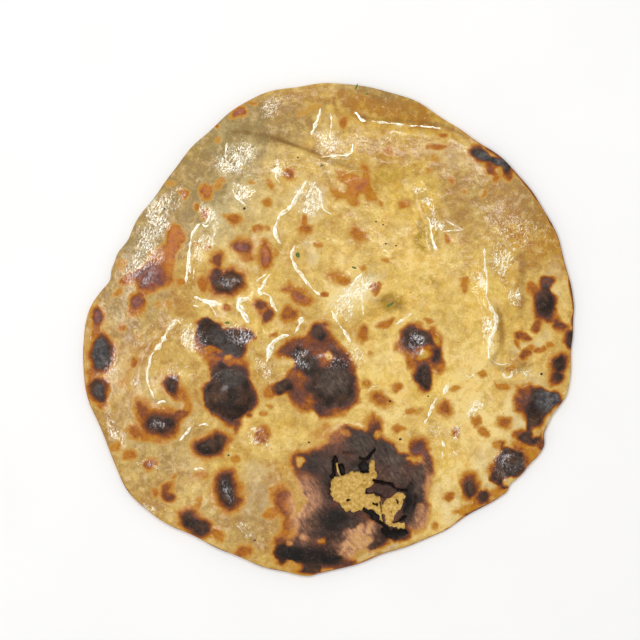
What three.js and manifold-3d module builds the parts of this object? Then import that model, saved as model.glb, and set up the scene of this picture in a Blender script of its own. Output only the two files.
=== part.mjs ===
// A paratha: one round flatbread, blistered and charred by a fierce heat, as it lies flat.
// Units are millimetres, +Z is up, and the bread rests on the plane z = 0.
// +X and +Y run across the bread, and the origin is under the middle of its outline.
import * as THREE from 'three';
import { mergeVertices } from 'three/addons/utils/BufferGeometryUtils.js';
import Module from 'manifold-3d';

const { smoothstep, degToRad, radToDeg } = THREE.MathUtils;

// Overall sizes of the bread
const BREAD_RADIUS = 110.2;
const CENTRE_THICKNESS = 5.6;
const RIM_THICKNESS = 2.6;
const RIM_ROUNDING = 1.1;
const RIM_FALL_POWER = 6;

// Mesh fineness: rings of triangles from the middle to the rim, the underside at half of it
const TOP_RINGS = 34;
const UNDER_RINGS = TOP_RINGS / 2;
const SIDES_PER_RING = 6;

// The bread rests on a flat three-cornered middle, and outside that its rim is lifted by up to
// RIM_LIFT within LIFT_REACH. The corners lie on a ring of the underside, at these azimuths.
const RIM_LIFT = 1.2;
const LIFT_REACH = 50;
const REST_RING = 13;
const REST_AZIMUTHS = [60, 180, 300];
const LEAST_LIFT_DISTANCE = 1e-6;

// Departures of the rim from a circle, by azimuth in degrees from +X towards +Y.
// Each one grows from `from` to `full`, holds to `until` and fades out at `to`.
const EDGE_SHAPES = [
  { name: 'slight flat, upper right', from: 34, full: 54, until: 60, to: 76, by: -2.7 },
  { name: 'long flat, upper left', from: 100, full: 142, until: 162, to: 181, by: -11.4 },
  { name: 'shoulder in the long flat', from: 155, full: 161, until: 164, to: 168, by: 2.4 },
  { name: 'swell, lower left', from: 178, full: 194, until: 226, to: 241, by: 2.0 },
  { name: 'corner, lower left', from: 206, full: 221, until: 223, to: 237, by: 3.6 },
  { name: 'point at the bottom', from: 258, full: 264, until: 265, to: 268, by: 1.0 },
  { name: 'long flat, lower right', from: 264, full: 284, until: 302, to: 327, by: -6.6 },
  { name: 'burnt nick, lower right', from: 317, full: 320, until: 325, to: 330, by: -2.2 },
  { name: 'burnt notch, right', from: 331, full: 335, until: 338, to: 345, by: -3.4 },
  { name: 'slight flat, right', from: 350, full: 357, until: 361, to: 366, by: -1.2 },
];

// Slow waves along the rim: how far it strays, over how many waves, from which phase
const EDGE_WAVES = [
  { stray: 0.35, waves: 17, phase: 0.6 },
  { stray: 0.2, waves: 31, phase: 2.1 },
];

// Broad swells and hollows of the whole bread, left by steam and by hand stretching
const SWELLS = [
  { name: 'puffed middle', at: [-8, 18], half: [52, 40], turn: 20, rise: 1.1 },
  { name: 'puffed right field', at: [46, 10], half: [30, 46], turn: 10, rise: 1.3 },
  { name: 'puffed lower left', at: [-60, -44], half: [34, 26], turn: -30, rise: 0.8 },
  { name: 'raised upper left', at: [-46, 62], half: [34, 22], turn: 35, rise: 0.9 },
  { name: 'hollow beside the right fold', at: [84, 4], half: [11, 40], turn: 6, rise: -0.9 },
  { name: 'hollow under the crescent', at: [14, 84], half: [60, 9], turn: -4, rise: -0.7 },
];

// Charred blisters, each a low dome on an oval
const BLISTERS = [
  { name: 'left rim, middle', at: [-102.4, -10], half: [8.4, 5.2], turn: 84, rise: 1.8 },
  { name: 'left rim, lower', at: [-102.6, -27.5], half: [5.4, 4.4], turn: 70, rise: 1.2 },
  { name: 'upper left band', at: [-80, 23], half: [8, 5], turn: 35, rise: 1.1 },
  { name: 'band tail', at: [-86, 12.5], half: [4.6, 4.2], turn: 0, rise: 0.9 },
  { name: 'middle left, upper', at: [-44, 21], half: [8.4, 5.4], turn: 8, rise: 1.9 },
  { name: 'middle left, black', at: [-50.5, -2.5], half: [10.6, 8.2], turn: 12, rise: 2.2 },
  { name: 'middle left, blackest', at: [-44, -29], half: [11.4, 11.8], turn: 0, rise: 2.4 },
  { name: 'kidney below it', at: [-53, -51.5], half: [7.2, 4.8], turn: 14, rise: 1.4 },
  { name: 'tall oval, low left', at: [-45.5, -72], half: [9.6, 6.2], turn: 106, rise: 1.9 },
  { name: 'low left at the rim', at: [-60, -86.5], half: [7.2, 4.6], turn: -30, rise: 1.1 },
  { name: 'far left field', at: [-75.5, -41.5], half: [9.4, 6.2], turn: -16, rise: 1.7 },
  { name: 'far left, small', at: [-70, -26], half: [4, 2.8], turn: 90, rise: 0.8 },
  { name: 'right of the middle', at: [40.5, -6.5], half: [10.4, 7.6], turn: -8, rise: 2.2 },
  { name: 'its stem', at: [42.8, -21.5], half: [6.6, 3.6], turn: 96, rise: 1.1 },
  { name: 'centre, broad', at: [-2, -20], half: [15, 14.4], turn: 30, rise: 2.0 },
  { name: 'centre, top lobe', at: [-3.8, -1.5], half: [7.6, 6.6], turn: 40, rise: 1.3 },
  { name: 'centre, left lobe', at: [-20.5, -24.5], half: [6.4, 5], turn: 20, rise: 1.0 },
  { name: 'right rim, upper', at: [95.8, 12.5], half: [7.6, 6], turn: 84, rise: 1.6 },
  { name: 'right rim, black', at: [101, -14.5], half: [5, 4.8], turn: 60, rise: 1.1 },
  { name: 'right rim, large', at: [93, -32.5], half: [10.8, 8], turn: -12, rise: 2.4 },
  { name: 'lower right rim, rough', at: [81, -59.5], half: [7.6, 6.8], turn: 30, rise: 2.0 },
  { name: 'lower right, small', at: [63.5, -71], half: [4.6, 3.6], turn: 70, rise: 1.0 },
  { name: 'upper right rim, first', at: [69.5, 77], half: [4.8, 4], turn: -30, rise: 1.2 },
  { name: 'upper right rim, second', at: [77, 72], half: [5, 4.2], turn: 80, rise: 1.2 },
  { name: 'upper right field', at: [12, 64.5], half: [9.4, 6.6], turn: 10, rise: 0.9 },
  { name: 'middle, orange', at: [3.5, 23], half: [6.4, 4], turn: 5, rise: 0.8 },
  { name: 'upper left field', at: [-29.5, 32.5], half: [6.2, 4.2], turn: 84, rise: 1.0 },
];

// Folds and creases of the skin, as smooth lines with a rounded ridge, or a furrow where rise is negative
const FOLDS = [
  {
    name: 'right fold',
    through: [[69, 37], [70, 20], [70, 12], [74.5, 4], [72, -5], [71, -13]],
    half: 5,
    rise: 1.7,
  },
  {
    name: 'foot of the right fold',
    through: [[71, -13], [77, -16], [84, -16]],
    half: 4.5,
    rise: 1.1,
  },
  {
    name: 'upper right crease',
    through: [[40, 63], [42, 54], [46, 47], [46, 40], [48, 35]],
    half: 4.5,
    rise: 1.3,
  },
  {
    name: 'crescent edge',
    through: [[10, 98], [16, 93.5], [32, 91.5], [50, 90], [62, 86]],
    half: 5,
    rise: -1.4,
  },
  {
    name: 'upper furrow',
    through: [[-36, 88], [-24, 85], [-12, 82], [-2, 77.5]],
    half: 4.5,
    rise: -1.6,
  },
  {
    name: 'ridge after the furrow',
    through: [[-2, 78.5], [7, 79.5], [10, 85]],
    half: 4.5,
    rise: 1.2,
  },
  {
    name: 'upper left crease',
    through: [[-53, 51], [-60, 45], [-63, 36], [-62, 26], [-65, 19]],
    half: 4.5,
    rise: 1.2,
  },
  {
    name: 'middle crease, upper',
    through: [[-15, 58], [-21, 52], [-24, 46], [-21, 38], [-16, 33], [-11, 22], [-4, 15]],
    half: 4.5,
    rise: 1.1,
  },
  {
    name: 'middle crease, lower',
    through: [[-25, 26], [-31, 17], [-27, 15], [-24, 7]],
    half: 4.5,
    rise: 1.0,
  },
  {
    name: 'left crease',
    through: [[-67, 3], [-73, -3], [-79, -11], [-81.5, -20], [-79, -29]],
    half: 5,
    rise: 1.5,
  },
];

// The big blister that tore open: its skin stands proud round a hole that shows the crumb
const TORN_DOMES = [
  { name: 'torn blister', at: [8, -74], half: [37, 29], turn: 14, rise: 2.6 },
  { name: 'its upper lobe', at: [9, -52], half: [15, 11], turn: 0, rise: 1.6 },
  { name: 'its right lobe', at: [37, -66], half: [11, 14], turn: 0, rise: 1.4 },
  { name: 'its foot', at: [-8, -98], half: [19, 9], turn: -10, rise: 1.1 },
];
const OPENINGS = [
  { name: 'wide opening', at: [10.4, -72.2], half: [11.6, 8.6], turn: -12, phase: 0.4 },
  { name: 'narrow opening', at: [28, -81], half: [8.4, 4.8], turn: 68, phase: 2.6 },
];
const OPENING_POINTS = 34;
const OPENING_TEARS = [
  { depth: 0.13, waves: 5 },
  { depth: 0.09, waves: 9 },
  { depth: 0.06, waves: 14 },
];
const CRUMB_FLOOR = 4.9;
const ABOVE_THE_BREAD = 20;

// Lumps of crumb on the floor of the openings, spread by the golden angle
const CRUMB_LUMPS_WIDE = 9;
const CRUMB_LUMPS_NARROW = 4;
const CRUMB_LUMP_HALF = [2.8, 2.2, 1.3];
const GOLDEN_ANGLE = Math.PI * (3 - Math.sqrt(5));

// The tongue of burnt skin left hanging between the two openings
const TONGUE = {
  root: [26, -67],
  tip: [14.5, -75.5],
  width: 7,
  thickness: 0.9,
  height: 6.5,
  droop: 3,
  sunk: 3,
};

// Deepest and lowest that the top may come to the underside, so that the solid stays whole
const LEAST_THICKNESS = 1.5;

const FULL_TURN = 360;

// One departure at an azimuth, which may also lie past a full turn
function edgeShape(shape, azimuth) {
  const past = azimuth + FULL_TURN < shape.to ? azimuth + FULL_TURN : azimuth;
  const grown = smoothstep(past, shape.from, shape.full);
  const faded = smoothstep(past, shape.until, shape.to);
  return shape.by * grown * (1 - faded);
}

// Radius of the rim at an azimuth given in radians
function edgeRadius(angle) {
  const azimuth = (radToDeg(angle) + FULL_TURN) % FULL_TURN;
  let radius = BREAD_RADIUS;
  for (const shape of EDGE_SHAPES) radius += edgeShape(shape, azimuth);
  for (const wave of EDGE_WAVES) radius += wave.stray * Math.sin(wave.waves * angle + wave.phase);
  return radius;
}

// Height of a dome on an oval: 1 at its middle, 0 outside it
function dome(shape, x, y) {
  const turn = degToRad(shape.turn);
  const dx = x - shape.at[0];
  const dy = y - shape.at[1];
  const along = (dx * Math.cos(turn) + dy * Math.sin(turn)) / shape.half[0];
  const across = (dy * Math.cos(turn) - dx * Math.sin(turn)) / shape.half[1];
  const inside = Math.max(0, 1 - along * along - across * across);
  return inside * inside * (3 - 2 * inside);
}

function distanceToSegment(x, y, a, b) {
  const dx = b.x - a.x;
  const dy = b.y - a.y;
  const along = ((x - a.x) * dx + (y - a.y) * dy) / (dx * dx + dy * dy);
  const held = Math.min(1, Math.max(0, along));
  return Math.hypot(x - a.x - held * dx, y - a.y - held * dy);
}

// A fold's line as short straight steps
const STEPS_PER_SPAN = 5;
const foldLines = FOLDS.map((fold) => {
  const points = fold.through.map(([x, y]) => new THREE.Vector2(x, y));
  return new THREE.SplineCurve(points).getPoints(STEPS_PER_SPAN * (points.length - 1));
});

// Height of a fold across its line: 1 on the line, 0 at its half width
function foldHeight(fold, line, x, y) {
  let nearest = Infinity;
  for (let i = 1; i < line.length; i += 1) {
    nearest = Math.min(nearest, distanceToSegment(x, y, line[i - 1], line[i]));
  }
  return nearest < fold.half ? 0.5 + 0.5 * Math.cos((Math.PI * nearest) / fold.half) : 0;
}

// Corners of the flat middle that the bread rests on
const restCorners = REST_AZIMUTHS.map((azimuth) => {
  const reach = (REST_RING / UNDER_RINGS) * edgeRadius(degToRad(azimuth));
  return new THREE.Vector2(reach, 0).rotateAround(new THREE.Vector2(), degToRad(azimuth));
});

// How far a place is beyond the side of the flat middle that runs from corner a to corner b
function beyondSide(x, y, a, b) {
  const side = b.clone().sub(a);
  return ((x - a.x) * side.y - (y - a.y) * side.x) / side.length();
}

// Underside: flat in the middle and lifted a little towards the rim
function undersideHeight(x, y) {
  const [first, second, third] = restCorners;
  const away = Math.max(
    beyondSide(x, y, first, second),
    beyondSide(x, y, second, third),
    beyondSide(x, y, third, first),
  );
  if (away < LEAST_LIFT_DISTANCE) return 0;
  const left = 1 - Math.min(1, away / LIFT_REACH);
  return RIM_LIFT * (1 - left * left);
}

// Top: the bread's own thickness, then swells, blisters and folds, which fade out at the rim
function topHeight(x, y, outward) {
  const fall = 1 - outward ** RIM_FALL_POWER;
  let height = RIM_THICKNESS + (CENTRE_THICKNESS - RIM_THICKNESS) * fall;
  let relief = 0;
  for (const shape of [...SWELLS, ...BLISTERS, ...TORN_DOMES]) relief += shape.rise * dome(shape, x, y);
  FOLDS.forEach((fold, i) => {
    relief += fold.rise * foldHeight(fold, foldLines[i], x, y);
  });
  height += relief * (1 - 0.6 * smoothstep(outward, 0.93, 1));
  return undersideHeight(x, y) + Math.max(LEAST_THICKNESS, height);
}

// Points of one ring, `outward` of the way from the middle to the rim
function ringPoints(count, outward, inset, heightAt) {
  const points = [];
  for (let i = 0; i < count; i += 1) {
    const angle = (2 * Math.PI * i) / count;
    const reach = outward * edgeRadius(angle) - inset;
    const x = reach * Math.cos(angle);
    const y = reach * Math.sin(angle);
    points.push([x, y, heightAt(x, y, outward)]);
  }
  return points;
}

// Triangles between an inner and an outer ring that hold different numbers of points, facing up
function zipRings(inner, innerCount, outer, outerCount) {
  const faces = [];
  let i = 0;
  let o = 0;
  while (i < innerCount || o < outerCount) {
    const stepOut = o < outerCount && (i >= innerCount || (o + 1) / outerCount <= (i + 0.5) / innerCount);
    const a = inner + (i % innerCount);
    const b = outer + (o % outerCount);
    if (stepOut) {
      faces.push([a, b, outer + ((o + 1) % outerCount)]);
      o += 1;
    } else {
      faces.push([a, b, inner + ((i + 1) % innerCount)]);
      i += 1;
    }
  }
  return faces;
}

// One side of the bread: a middle point, then rings of 6, 12, 18 and so on out to the rim
function addSide(mesh, rings, heightAt, inset, facesUp) {
  const turned = ([a, b, c]) => (facesUp ? [a, b, c] : [a, c, b]);
  let inner = mesh.points.length;
  let innerCount = 1;
  mesh.points.push([0, 0, heightAt(0, 0, 0)]);
  for (let ring = 1; ring <= rings; ring += 1) {
    const outer = mesh.points.length;
    const outerCount = ring * SIDES_PER_RING;
    mesh.points.push(...ringPoints(outerCount, ring / rings, ring === rings ? inset : 0, heightAt));
    if (innerCount === 1) {
      for (let i = 0; i < outerCount; i += 1) {
        mesh.faces.push(turned([inner, outer + i, outer + ((i + 1) % outerCount)]));
      }
    } else {
      mesh.faces.push(...zipRings(inner, innerCount, outer, outerCount).map(turned));
    }
    inner = outer;
    innerCount = outerCount;
  }
  return { start: inner, count: innerCount };
}

// Triangles of the rim's wall, from a ring down to another one
function joinRings(mesh, upper, lower) {
  const faces = zipRings(upper.start, upper.count, lower.start, lower.count);
  mesh.faces.push(...faces);
}

// The whole bread as one closed surface, before it is torn open
function breadGeometry() {
  const mesh = { points: [], faces: [] };
  const equatorHeight = (x, y) => undersideHeight(x, y) + RIM_THICKNESS / 2;
  const top = addSide(mesh, TOP_RINGS, topHeight, RIM_ROUNDING, true);
  const equator = { start: mesh.points.length, count: top.count };
  mesh.points.push(...ringPoints(top.count, 1, 0, equatorHeight));
  const under = addSide(mesh, UNDER_RINGS, undersideHeight, RIM_ROUNDING, false);
  joinRings(mesh, top, equator);
  joinRings(mesh, equator, under);
  return geometryOf(mesh);
}

function geometryOf(mesh) {
  const geometry = new THREE.BufferGeometry();
  geometry.setAttribute('position', new THREE.Float32BufferAttribute(mesh.points.flat(), 3));
  geometry.setIndex(mesh.faces.flat());
  return geometry;
}

// Ragged outline of an opening: an oval whose edge is torn in and out
function openingShape(opening) {
  const turn = degToRad(opening.turn);
  const points = [];
  for (let i = 0; i < OPENING_POINTS; i += 1) {
    const angle = (2 * Math.PI * i) / OPENING_POINTS;
    let torn = 1;
    for (const tear of OPENING_TEARS) torn += tear.depth * Math.sin(tear.waves * (angle + opening.phase));
    const along = opening.half[0] * torn * Math.cos(angle);
    const across = opening.half[1] * torn * Math.sin(angle);
    const x = opening.at[0] + along * Math.cos(turn) - across * Math.sin(turn);
    const y = opening.at[1] + along * Math.sin(turn) + across * Math.cos(turn);
    points.push(new THREE.Vector2(x, y));
  }
  return new THREE.Shape(points);
}

// What an opening takes out of the bread: everything above the crumb inside its outline
function openingGeometry(opening) {
  const geometry = new THREE.ExtrudeGeometry(openingShape(opening), {
    depth: ABOVE_THE_BREAD,
    bevelEnabled: false,
  });
  return geometry.translate(0, 0, CRUMB_FLOOR);
}

// Soft lumps of crumb, half sunk in the floor of an opening
function crumbLumps(opening, count) {
  const turn = degToRad(opening.turn);
  const lumps = [];
  for (let i = 0; i < count; i += 1) {
    const reach = 0.78 * Math.sqrt((i + 0.5) / count);
    const along = opening.half[0] * reach * Math.cos(i * GOLDEN_ANGLE);
    const across = opening.half[1] * reach * Math.sin(i * GOLDEN_ANGLE);
    const lump = new THREE.IcosahedronGeometry(1, 1);
    lump.scale(...CRUMB_LUMP_HALF);
    lump.rotateZ(i * GOLDEN_ANGLE);
    lump.translate(
      opening.at[0] + along * Math.cos(turn) - across * Math.sin(turn),
      opening.at[1] + along * Math.sin(turn) + across * Math.cos(turn),
      CRUMB_FLOOR,
    );
    lumps.push(lump);
  }
  return lumps;
}

// A pointed tongue of skin that reaches over the crumb from the right
function tongueGeometry() {
  const root = new THREE.Vector2(...TONGUE.root);
  const tip = new THREE.Vector2(...TONGUE.tip);
  const reach = root.distanceTo(tip);
  const half = TONGUE.width / 2;
  const shape = new THREE.Shape();
  shape.moveTo(-TONGUE.sunk, -half);
  shape.quadraticCurveTo(reach * 0.6, -half, reach, -half * 0.2);
  shape.quadraticCurveTo(reach * 0.7, half * 0.4, -TONGUE.sunk, half);
  const geometry = new THREE.ExtrudeGeometry(shape, {
    depth: TONGUE.thickness,
    bevelEnabled: false,
    curveSegments: 5,
  });
  geometry.rotateY(degToRad(TONGUE.droop));
  geometry.rotateZ(Math.atan2(tip.y - root.y, tip.x - root.x));
  return geometry.translate(root.x, root.y, TONGUE.height);
}

const wasm = await Module();
wasm.setup();

// A closed three.js geometry as a solid that can be joined and cut
function solidOf(geometry) {
  const bare = geometry.clone();
  bare.deleteAttribute('normal');
  bare.deleteAttribute('uv');
  const merged = mergeVertices(bare, 1e-4);
  return new wasm.Manifold(
    new wasm.Mesh({
      numProp: 3,
      vertProperties: new Float32Array(merged.attributes.position.array),
      triVerts: new Uint32Array(merged.index.array),
    }),
  );
}

function geometryOfSolid(solid) {
  const mesh = solid.getMesh();
  const geometry = new THREE.BufferGeometry();
  geometry.setAttribute('position', new THREE.BufferAttribute(mesh.vertProperties, mesh.numProp));
  geometry.setIndex(new THREE.BufferAttribute(mesh.triVerts, 1));
  geometry.computeVertexNormals();
  return geometry;
}

// The bread torn open, with crumb on the floor of each opening and the tongue of skin over it.
// It is then shifted, by a fraction of a millimetre, so that the middle of its box is over the origin.
function paratha() {
  let bread = solidOf(breadGeometry());
  const [wide, narrow] = OPENINGS;
  for (const opening of OPENINGS) bread = bread.subtract(solidOf(openingGeometry(opening)));
  const additions = [
    ...crumbLumps(wide, CRUMB_LUMPS_WIDE),
    ...crumbLumps(narrow, CRUMB_LUMPS_NARROW),
    tongueGeometry(),
  ];
  for (const addition of additions) bread = bread.add(solidOf(addition));
  const geometry = geometryOfSolid(bread);
  geometry.computeBoundingBox();
  const middle = geometry.boundingBox.getCenter(new THREE.Vector3());
  geometry.translate(-middle.x, -middle.y, 0);
  const material = new THREE.MeshStandardMaterial({
    color: new THREE.Color('rgb(214, 178, 106)'),
    roughness: 0.45,
    metalness: 0,
  });
  const mesh = new THREE.Mesh(geometry, material);
  mesh.name = 'paratha';
  return mesh;
}

const group = new THREE.Group();
group.add(paratha());

export default group;
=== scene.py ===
"""A round paratha: oil-brushed, flame-charred flatbread, lying on a plain pale floor and seen from above.

Sizes and places are in millimetres across the bread, +X right and +Y up in the picture,
until they reach a mesh, which is in metres.
"""
import math

import bpy
import numpy as np
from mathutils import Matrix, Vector


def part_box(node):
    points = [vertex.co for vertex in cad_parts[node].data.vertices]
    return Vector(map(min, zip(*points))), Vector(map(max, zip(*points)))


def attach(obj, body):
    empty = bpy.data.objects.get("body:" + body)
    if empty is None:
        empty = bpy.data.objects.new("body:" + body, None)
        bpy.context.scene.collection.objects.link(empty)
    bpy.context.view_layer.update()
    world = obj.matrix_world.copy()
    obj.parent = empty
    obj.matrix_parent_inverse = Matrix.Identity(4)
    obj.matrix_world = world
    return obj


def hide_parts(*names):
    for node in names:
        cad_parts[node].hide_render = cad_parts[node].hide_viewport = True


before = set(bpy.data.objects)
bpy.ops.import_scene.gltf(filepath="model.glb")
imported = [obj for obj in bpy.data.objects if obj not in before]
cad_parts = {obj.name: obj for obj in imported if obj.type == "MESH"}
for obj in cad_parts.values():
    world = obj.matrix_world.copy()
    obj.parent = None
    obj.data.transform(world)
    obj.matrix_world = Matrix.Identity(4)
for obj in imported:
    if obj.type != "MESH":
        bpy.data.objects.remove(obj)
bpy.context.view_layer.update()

MM = 0.001

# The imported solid's box, which the fine mesh keeps to
LOW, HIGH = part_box("paratha")
TOP_MM = (HIGH[2] - LOW[2]) / MM

# Overall sizes of the bread
BREAD_RADIUS = 110.2
CENTRE_THICKNESS = 5.6
RIM_THICKNESS = 2.6
RIM_ROUNDING = 1.5
RIM_FALL_POWER = 6

# The bread rests on a flat three-cornered middle, and its rim is lifted a little outside that
RIM_LIFT = 1.2
LIFT_REACH = 50
REST_OUTWARD = 13 / 17
REST_AZIMUTHS = (60, 180, 300)

# Mesh fineness: rings of triangles in six sectors from the middle out, and steps down the rounded rim
TOP_RINGS = 160
UNDER_RINGS = 60
SECTORS = 6
RIM_STEPS = 6
# The rim's rounding draws the rings in by this power of how far out they are
RIM_ROUNDING_POWER = 12
# Steps of a curve between two of its points: of a fold or crease, and of a line of oil
CURVE_STEPS = 6
OIL_CURVE_STEPS = 8
# Smallest divisor
TINY = 1e-6

# Rings are drawn together round the torn blister, so that its ragged edges come out fine, and less
# towards the rim by this power of how far out they are
FINE_MIDDLE = (12.0, -74.0)
FINE_REACH = 27.0
FINE_PULL = 0.46
FINE_FADE_POWER = 8

# Points along each side of the lattice that random hills stand on
LATTICE = 512

# Fine unevenness of the skin: size of the hills, height, seed
SKIN_HILLS = ((26, 0.32, 11), (11, 0.20, 12), (5.2, 0.09, 13), (2.4, 0.045, 14))
# How high a fully browned spot stands, and the least thickness (mm)
SPOT_RISE = 0.22
LEAST_HEIGHT = 1.5
# Relief loses this part of its height on the last of the way out, from here on
RIM_RELIEF_LOSS = 0.6
RIM_RELIEF_FROM = 0.93
# Pits of the underside: size and seed, half their depth (mm), and how far out they begin to run out
PITS = (7, 71)
PIT_DEPTH = 0.22
PITS_END = 0.8

# Departures of the rim from a circle: from, full, until, to (degrees of azimuth), by (mm)
EDGE_SHAPES = (
    ("slight flat, upper right", 34, 54, 60, 76, -2.7),
    ("long flat, upper left", 100, 142, 162, 181, -11.4),
    ("shoulder in the long flat", 155, 161, 164, 168, 2.4),
    ("swell, lower left", 178, 194, 226, 241, 2.0),
    ("corner, lower left", 206, 221, 223, 237, 3.6),
    ("point at the bottom", 258, 264, 265, 268, 1.0),
    ("long flat, lower right", 264, 284, 302, 327, -6.6),
    ("burnt nick, lower right", 317, 320, 325, 330, -2.2),
    ("burnt notch, right", 331, 335, 338, 345, -3.4),
    ("slight flat, right", 350, 357, 361, 366, -1.2),
)
# Slow waves along the rim: stray (mm), waves round the rim, phase
EDGE_WAVES = ((0.35, 17, 0.6), (0.2, 31, 2.1))

# Broad swells and hollows: place, half sizes, turn in degrees, rise
SWELLS = (
    ("puffed middle", (-8, 18), (52, 40), 20, 1.1),
    ("puffed right field", (46, 10), (30, 46), 10, 1.3),
    ("puffed lower left", (-60, -44), (34, 26), -30, 0.8),
    ("raised upper left", (-46, 62), (34, 22), 35, 0.9),
    ("hollow beside the right fold", (84, 4), (11, 40), 6, -0.9),
    ("hollow under the crescent", (14, 84), (60, 9), -4, -0.7),
)
# Charred blisters: place, half sizes, turn, rise
BLISTERS = (
    ("left rim, middle", (-102.4, -10), (8.4, 5.2), 84, 1.8),
    ("left rim, lower", (-102.6, -27.5), (5.4, 4.4), 70, 1.2),
    ("upper left band", (-80, 23), (8, 5), 35, 1.1),
    ("band tail", (-86, 12.5), (4.6, 4.2), 0, 0.9),
    ("middle left, upper", (-44, 21), (8.4, 5.4), 8, 1.9),
    ("middle left, black", (-50.5, -2.5), (10.6, 8.2), 12, 2.2),
    ("middle left, blackest", (-44, -29), (11.4, 11.8), 0, 2.4),
    ("kidney below it", (-53, -51.5), (7.2, 4.8), 14, 1.4),
    ("tall oval, low left", (-45.5, -72), (9.6, 6.2), 106, 1.9),
    ("low left at the rim", (-60, -86.5), (7.2, 4.6), -30, 1.1),
    ("far left field", (-75.5, -41.5), (9.4, 6.2), -16, 1.7),
    ("far left, small", (-70, -26), (4, 2.8), 90, 0.8),
    ("right of the middle", (40.5, -6.5), (10.4, 7.6), -8, 2.2),
    ("its stem", (42.8, -21.5), (6.6, 3.6), 96, 1.1),
    ("centre, broad", (-2, -20), (15, 14.4), 30, 2.0),
    ("centre, top lobe", (-3.8, -1.5), (7.6, 6.6), 40, 1.3),
    ("centre, left lobe", (-20.5, -24.5), (6.4, 5), 20, 1.0),
    ("right rim, upper", (95.8, 12.5), (7.6, 6), 84, 1.6),
    ("right rim, black", (101, -14.5), (5, 4.8), 60, 1.1),
    ("right rim, large", (93, -32.5), (10.8, 8), -12, 2.4),
    ("lower right rim, rough", (81, -59.5), (7.6, 6.8), 30, 2.0),
    ("lower right, small", (63.5, -71), (4.6, 3.6), 70, 1.0),
    ("upper right rim, first", (69.5, 77), (4.8, 4), -30, 1.2),
    ("upper right rim, second", (77, 72), (5, 4.2), 80, 1.2),
    ("upper right field", (12, 64.5), (9.4, 6.6), 10, 0.9),
    ("middle, orange", (3.5, 23), (6.4, 4), 5, 0.8),
    ("upper left field", (-29.5, 32.5), (6.2, 4.2), 84, 1.0),
)
# Domes that lift the torn blister, in the same terms
TORN_DOMES = (
    ("torn blister", (8, -74), (37, 29), 14, 2.6),
    ("its upper lobe", (9, -52), (15, 11), 0, 1.6),
    ("its right lobe", (37, -66), (11, 14), 0, 1.4),
    ("its foot", (-8, -98), (19, 9), -10, 1.1),
)
# Soft folds: points, half width, rise (a furrow where negative)
FOLDS = (
    ("right fold", ((69, 37), (70, 20), (70, 12), (74.5, 4), (72, -5), (71, -13)), 4.2, 1.3),
    ("right fold's foot", ((71, -13), (77, -16), (84, -16)), 4.2, 0.7),
    ("upper right crease", ((40, 63), (42, 54), (46, 47), (46, 40), (48, 35)), 3.4, 0.6),
    ("crescent edge", ((10, 98), (16, 93.5), (32, 91.5), (50, 90), (62, 86)), 4.2, -1.0),
    ("upper furrow", ((-36, 88), (-24, 85), (-12, 82), (-2, 77.5)), 2.6, -1.2),
    ("left crease", ((-67, 3), (-73, -3), (-79, -11), (-81.5, -20), (-79, -29)), 3.6, 0.6),
)
# Painted shade along fine creases, valleys and furrows: points, half width, darkness
SHADED_CREASES = (
    ("upper furrow", ((-43, 88.4), (-36, 88), (-31, 87.1), (-25, 85.6), (-13, 81.6),
                      (-4.5, 78.4)), 0.8, 1.2),
    ("its upper edge", ((-46, 94), (-38, 91), (-32, 90)), 1.6, 0.5),
    ("above the furrow", ((-50, 96), (-40, 96.6), (-30, 99)), 1.4, 0.3),
    ("top pleat", ((-2, 101), (-8, 97), (-16, 94)), 1.6, 0.6),
    ("top pleat, right", ((2, 101), (5, 92), (4, 84)), 0.8, 0.35),
    ("crescent edge", ((13, 95.4), (24, 93.6), (38, 93), (52, 91.2), (60, 87)), 1.0, 0.9),
    ("crescent fold", ((20, 104), (34, 99), (46, 95.6)), 2.0, 0.5),
    ("by the patch", ((-4, 75), (0, 66), (4, 60)), 0.8, 0.5),
    ("furrow's foot", ((-4, 76.6), (4, 74), (12, 72)), 1.0, 0.6),
    ("right valley", ((73.5, 12), (76.6, 4), (76.6, -6), (73, -14)), 1.2, 0.6),
    ("second valley", ((86, 33), (86.6, 20), (85.4, 6)), 1.6, 0.45),
    ("fold's foot", ((73, -15), (80, -18), (90, -16.6)), 1.4, 0.5),
    ("below the crease", ((47, 47), (56, 43), (66, 41)), 1.8, 0.6),
    ("dent", ((20, 13), (27, 13), (33, 9)), 1.2, 0.6),
)
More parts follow.
